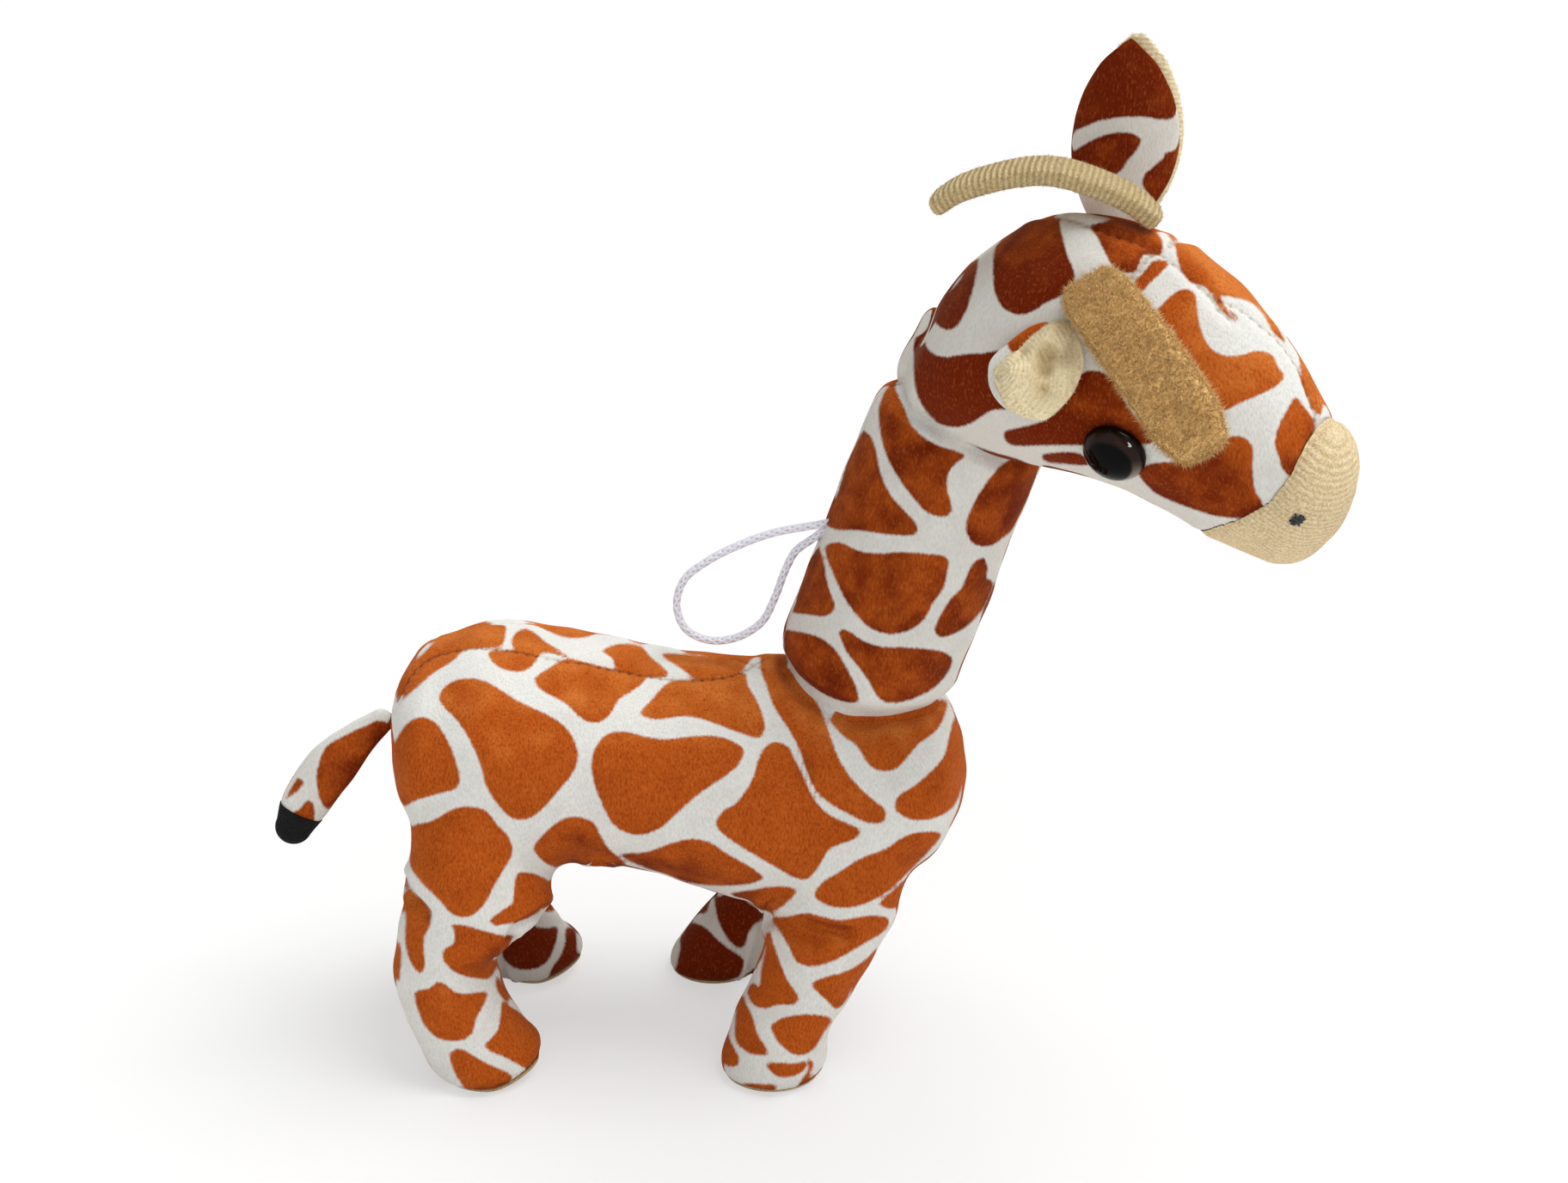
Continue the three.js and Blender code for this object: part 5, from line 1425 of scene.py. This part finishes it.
def ear_layer(low, high, grow=0.0, rows=60, columns=44):
    """One cloth of the far ear, from one height over its middle surface to another."""
    share = np.linspace(0, 1, rows + 1)
    wide = spline([(i / 7, w) for i, w in enumerate(EAR_OUTLINE)], share)[:, 1]
    wide *= np.sqrt(np.clip(1 - (np.maximum(share - 0.86, 0) / 0.14) ** 2, 0.0004, 1))
    across = np.linspace(-1, 1, columns + 1)
    s, a = np.meshgrid(share, across, indexing="ij")
    half = EAR_WIDTH * wide[:, None] / 2 + grow
    x, z, angle = arc(EAR_LENGTH + grow, FAR_EAR_TURN, s)
    radius = EAR_WIDTH / 2 / FAR_EAR_CUP
    circle = a * half / radius
    rise = radius * (1 - np.cos(circle))
    point = np.stack([x - np.sin(angle) * rise, radius * np.sin(circle), z + np.cos(angle) * rise], -1)
    normal = np.stack([-np.sin(angle) * np.cos(circle), -np.sin(circle), np.cos(angle) * np.cos(circle)], -1)
    # The cloth thins to its edges
    soft = np.sqrt(np.clip(1 - np.abs(a) ** 10, 0, 1))
    soft = soft * np.sqrt(np.clip(1 - np.maximum(s - 0.02, 0) ** 14, 0, 1))
    middle, thick = (low + high) / 2, (high - low) / 2 * (0.25 + 0.75 * soft)
    sheets = [point + normal * (middle + sign * thick)[..., None] for sign in (-1, 1)]
    vertices = np.vstack([sheet.reshape(-1, 3) for sheet in sheets])
    stride, layer = columns + 1, (rows + 1) * (columns + 1)
    faces = []
    for i in range(rows):
        for j in range(columns):
            p = i * stride + j
            faces.append((p, p + 1, p + stride + 1, p + stride))
            faces.append((p + layer, p + layer + stride, p + layer + stride + 1, p + layer + 1))
        left, right = i * stride, i * stride + columns
        faces.append((left, left + stride, left + stride + layer, left + layer))
        faces.append((right, right + layer, right + stride + layer, right + stride))
    for j in range(columns):
        root, tip = j, rows * stride + j
        faces.append((root, root + layer, root + layer + 1, root + 1))
        faces.append((tip, tip + 1, tip + layer + 1, tip + layer))
    return vertices, faces, np.tile((s * EAR_LENGTH).ravel(), 2)


flap = Flap(1, FAR_EAR_SEAT, EAR_LAYER / 2, FAR_EAR_ALONG, FAR_EAR_FACE)
v, f, ribs = ear_layer(SEAM_GAP / 2, SEAM_GAP / 2 + EAR_LAYER, FAR_EAR_LINING_GROWS)
shape, layers = pile((flap.place(v) + FAR_EAR_RIM, f), {"ribs": ribs}, 6000, 0.8, 1.0)
piece("far_ear_lining_cloth", shape, layers, LINING, "far_ear", ["far_ear_lining"])
v, f, _ = ear_layer(-SEAM_GAP / 2 - EAR_LAYER, -SEAM_GAP / 2)
v = flap.place(v)
layers = {"print": printed(v, f, "far_ear", [head_tree])}
# Painted shade: the far ear's outer layer is painted much darker than the torso
layers |= {"nap": painted_shade_of(v, f, 0.95), "seam": np.full(len(v), NO_SEAM)}
piece("far_ear_plush", (v, f), layers, PLUSH, "far_ear", ["far_ear_outer"])

# The near ear is curled in on itself: a bud of lining in its printed outer layer, as the photograph shows it
BUD_MIDDLE, BUD_RIBS_ROUND, BUD_LIFT = (1207, 432), (1172, 438), 4.5
BUD_LINING = [
    (1157, 432), (1170, 418), (1186, 406), (1198, 394), (1213, 383), (1226, 375), (1238, 374), (1250, 386),
    (1259, 408), (1260, 426), (1255, 443), (1247, 459), (1232, 476), (1216, 488), (1201, 488), (1183, 482),
    (1171, 473), (1164, 458), (1158, 445),
]
BUD_OUTER = [
    (1148, 432), (1150, 420), (1158, 409), (1171, 398), (1186, 386), (1201, 377), (1222, 373), (1240, 379),
    (1250, 400), (1254, 424), (1246, 450), (1232, 468), (1212, 480), (1190, 482), (1168, 474), (1155, 460),
    (1149, 446),
]
# Folds and hollows of the lining: pixel, radius and height
BUD_FOLDS = [
    ((1186, 448), 5.0, 4.0), ((1247, 436), 3.6, 3.4), ((1228, 390), 3.6, 2.4), ((1223, 414), 2.0, -4.4),
    ((1219, 432), 1.9, -4.0), ((1216, 454), 1.7, -2.6), ((1192, 412), 1.7, -2.2), ((1165, 438), 1.3, -2.2),
]
hit, normal, _, _ = head_tree.ray_cast(Vector(CAMERA_AT), pixel_ray(BUD_MIDDLE))
bud_face = unit(np.array(normal) + unit(CAMERA_AT - np.array(hit)) + [0, 0, 0.7])
bud_root = np.array(hit) + bud_face * BUD_LIFT
bud_x = unit(np.cross([0.0, 0, 1], bud_face))
bud_y = np.cross(bud_face, bud_x)


def on_bud(pixels):
    """Pixels on the plane of the near ear's rim, in its two directions."""
    rays = np.array([pixel_ray(p) for p in pixels])
    reach = ((bud_root - CAMERA_AT) @ bud_face) / (rays @ bud_face)
    offset = CAMERA_AT + rays * reach[:, None] - bud_root
    return np.stack([offset @ bud_x, offset @ bud_y], 1)


def bud_shape(pixels, dome, back, folds=(), rows=26, sides=120):
    outline = on_bud(pixels)
    closed = np.vstack([outline[-1:], outline, outline[:2]])
    count = len(outline)
    rim = spline(closed, (1 + np.arange(sides) / sides * count) / (len(closed) - 1))
    middle = rim.mean(0)
    sheets = []
    for height in (dome, back):
        share = np.sin(np.linspace(0.02, 1, rows) * np.pi / 2)
        flat = middle + share[:, None, None] * (rim - middle)[None]
        rise = np.repeat((height * np.sqrt(1 - share**2))[:, None], sides, 1)
        if height > 0:
            for (pixel, radius, lift) in folds:
                distance = np.linalg.norm(flat - on_bud([pixel])[0], axis=-1)
                rise += lift * np.exp(-((distance / radius) ** 2)) * np.sqrt(1 - share[:, None] ** 4)
        sheets.append((flat, rise))
    rings = [np.concatenate([flat, rise[..., None]], -1) for flat, rise in sheets]
    rings = np.concatenate([rings[0], rings[1][::-1][1:]])
    points = rings.reshape(-1, 3)
    placed = bud_root + points @ np.array([bud_x, bud_y, bud_face])
    return placed, ring_faces(len(rings), sides), points


v, f, flat = bud_shape(BUD_LINING, 4.2, -2.5, BUD_FOLDS, 40, 160)
ribs = np.linalg.norm(flat[:, :2] - on_bud([BUD_RIBS_ROUND])[0], axis=1)
shape, layers = pile((v, f), {"ribs": ribs}, 2500, 0.7, 1.0)
piece("near_ear_lining_cloth", shape, layers, LINING, "near_ear", ["near_ear_lining"])
v, f, _ = bud_shape(BUD_OUTER, 1.2, -4.5)
v = v - bud_face * 1.0
layers = {"print": printed(v, f, "near_ear", [head_tree])}
# Painted shade: the near ear's outer layer is painted darker than the torso
layers |= {"nap": painted_shade_of(v, f, 0.7), "seam": np.full(len(v), NO_SEAM)}
piece("near_ear_plush", (v, f), layers, PLUSH, "near_ear", ["near_ear_outer"])


# Tail

TAIL_RINGS = [(0, 0.5), (0.2, 0.72), (0.5, 1), (0.8, 0.95), (1, 0.7)]
TAIL_SEAT, TAIL_SLOPE, TAIL_TURN = (-0.88, 90), math.radians(36), math.radians(28)
rings = []
for share, wide in TAIL_RINGS:
    x, z, _ = arc(TAIL_LENGTH, TAIL_TURN, share)
    rings.append((np.array([x, 0, z]), TAIL_WIDTH * wide / 2, TAIL_THICKNESS * wide / 2))
form = Form(rings, rings[0][1], TAIL_TIP_LENGTH / 2)
v, f = form.mesh(80, 60, 12)
x = np.array([-math.cos(TAIL_SLOPE), 0, -math.sin(TAIL_SLOPE)])
z = np.array([math.sin(TAIL_SLOPE), 0, -math.cos(TAIL_SLOPE)])
seat, normal = torso.seat(*TAIL_SEAT)
tail_root = seat + normal * (rings[0][1] + SEAM_GAP)
tip_x, tip_z, tip_angle = arc(TAIL_LENGTH, TAIL_TURN, 1 - TAIL_TIP_LENGTH / 2 / TAIL_LENGTH)
beyond = (v[:, 0] - tip_x) * math.cos(tip_angle) + (v[:, 2] - tip_z) * math.sin(tip_angle)
v = v @ np.array([x, np.cross(z, x), z]) + tail_root
# Painted shade: the tail is painted darker than the torso, and lighter on top and darker underneath
layers = {"print": printed(v, f, "tail", [body_tree]), "nap": painted_shade_of(v, f, 0.75)}
layers |= {"seam": np.abs(beyond), "place": np.full(len(v), UNSTITCHED)}
root, tip = split_along(v, f, layers, beyond)
piece("tail_plush", root[:2], root[2], PLUSH, "tail", ["tail"])
tip_v = tip[0] + normals_of(*tip[:2]) * 0.25
piece("tail_tip_felt", (tip_v, tip[1]), {}, FELT, "tail", ["tail_tip"])


# Floor, backdrop and light


LAMPS_LOOK_AT = (0.02, 0.02, 0.12)


def lamp(kind, name, at, strength, tone, spread, diffuse=True):
    """A soft lamp that looks at the giraffe's middle. Its spread is a sun's angle or a disk's width."""
    data = bpy.data.lights.new(name, kind)
    data.energy, data.color = strength, tone
    if kind == "SUN":
        data.angle = math.radians(spread)
    else:
        data.shape, data.size = "DISK", spread
    holder = add_object(name, data)
    holder.location = at
    holder.visible_diffuse = diffuse
    holder.rotation_euler = (Vector(LAMPS_LOOK_AT) - Vector(at)).to_track_quat("-Z", "Y").to_euler()


FLOOR_REACH, FLOOR_GLOW, WORLD_LIGHT = 60, 0.52, 0.38


def studio():
    floor = bpy.data.meshes.new("floor")
    size = FLOOR_REACH
    corners = [(x * size, y * size, 0) for x, y in ((-1, -1), (1, -1), (1, 1), (-1, 1))]
    floor.from_pydata(corners, [], [(0, 1, 2, 3)])
    m = Nodes(bpy.data.materials.new("floor"))
    m.set(Base_Color=colour("F9F9F9"), Roughness=0.9, Specular_IOR_Level=0.0)
    rays = m.node("ShaderNodeLightPath")
    glow = m.node("ShaderNodeEmission", {"Color": (1, 1, 1, 1), "Strength": 1.0})
    share = m.math("MULTIPLY", rays.outputs["Is Camera Ray"], FLOOR_GLOW)
    total = m.node("ShaderNodeMixShader", {0: share, 1: m.shader.outputs[0], 2: glow.outputs[0]})
    m.put(m.tree.nodes["Material Output"].inputs["Surface"], total.outputs[0])
    floor.materials.append(m.owner)
    add_object("floor", floor)
    lamp("SUN", "key", (0.40, 0.02, 0.92), 2.3, (1, 0.995, 0.985), 40)
    lamp("SUN", "fill", (0.10, -0.80, 0.50), 0.36, (0.97, 0.985, 1), 60)
    lamp("AREA", "window", (0.2105, -0.333, 0.288), 3.4, (0.9, 0.96, 1), 0.13, False)
    world = bpy.data.worlds.new("studio")
    bpy.context.scene.world = world
    w = Nodes(world)
    rays = w.node("ShaderNodeLightPath")
    seen = rays.outputs["Is Camera Ray"]
    for label in ("Is Glossy Ray", "Is Transmission Ray"):
        seen = w.math("MAXIMUM", seen, rays.outputs[label])
    strength = w.node("ShaderNodeMapRange", {"Value": seen, "To Min": WORLD_LIGHT, "To Max": 1.0})
    back = w.tree.nodes["Background"]
    w.put(back.inputs["Color"], (1, 1, 1, 1))
    w.put(back.inputs["Strength"], strength.outputs["Result"])
    bpy.context.scene.view_settings.view_transform = "Standard"


studio()
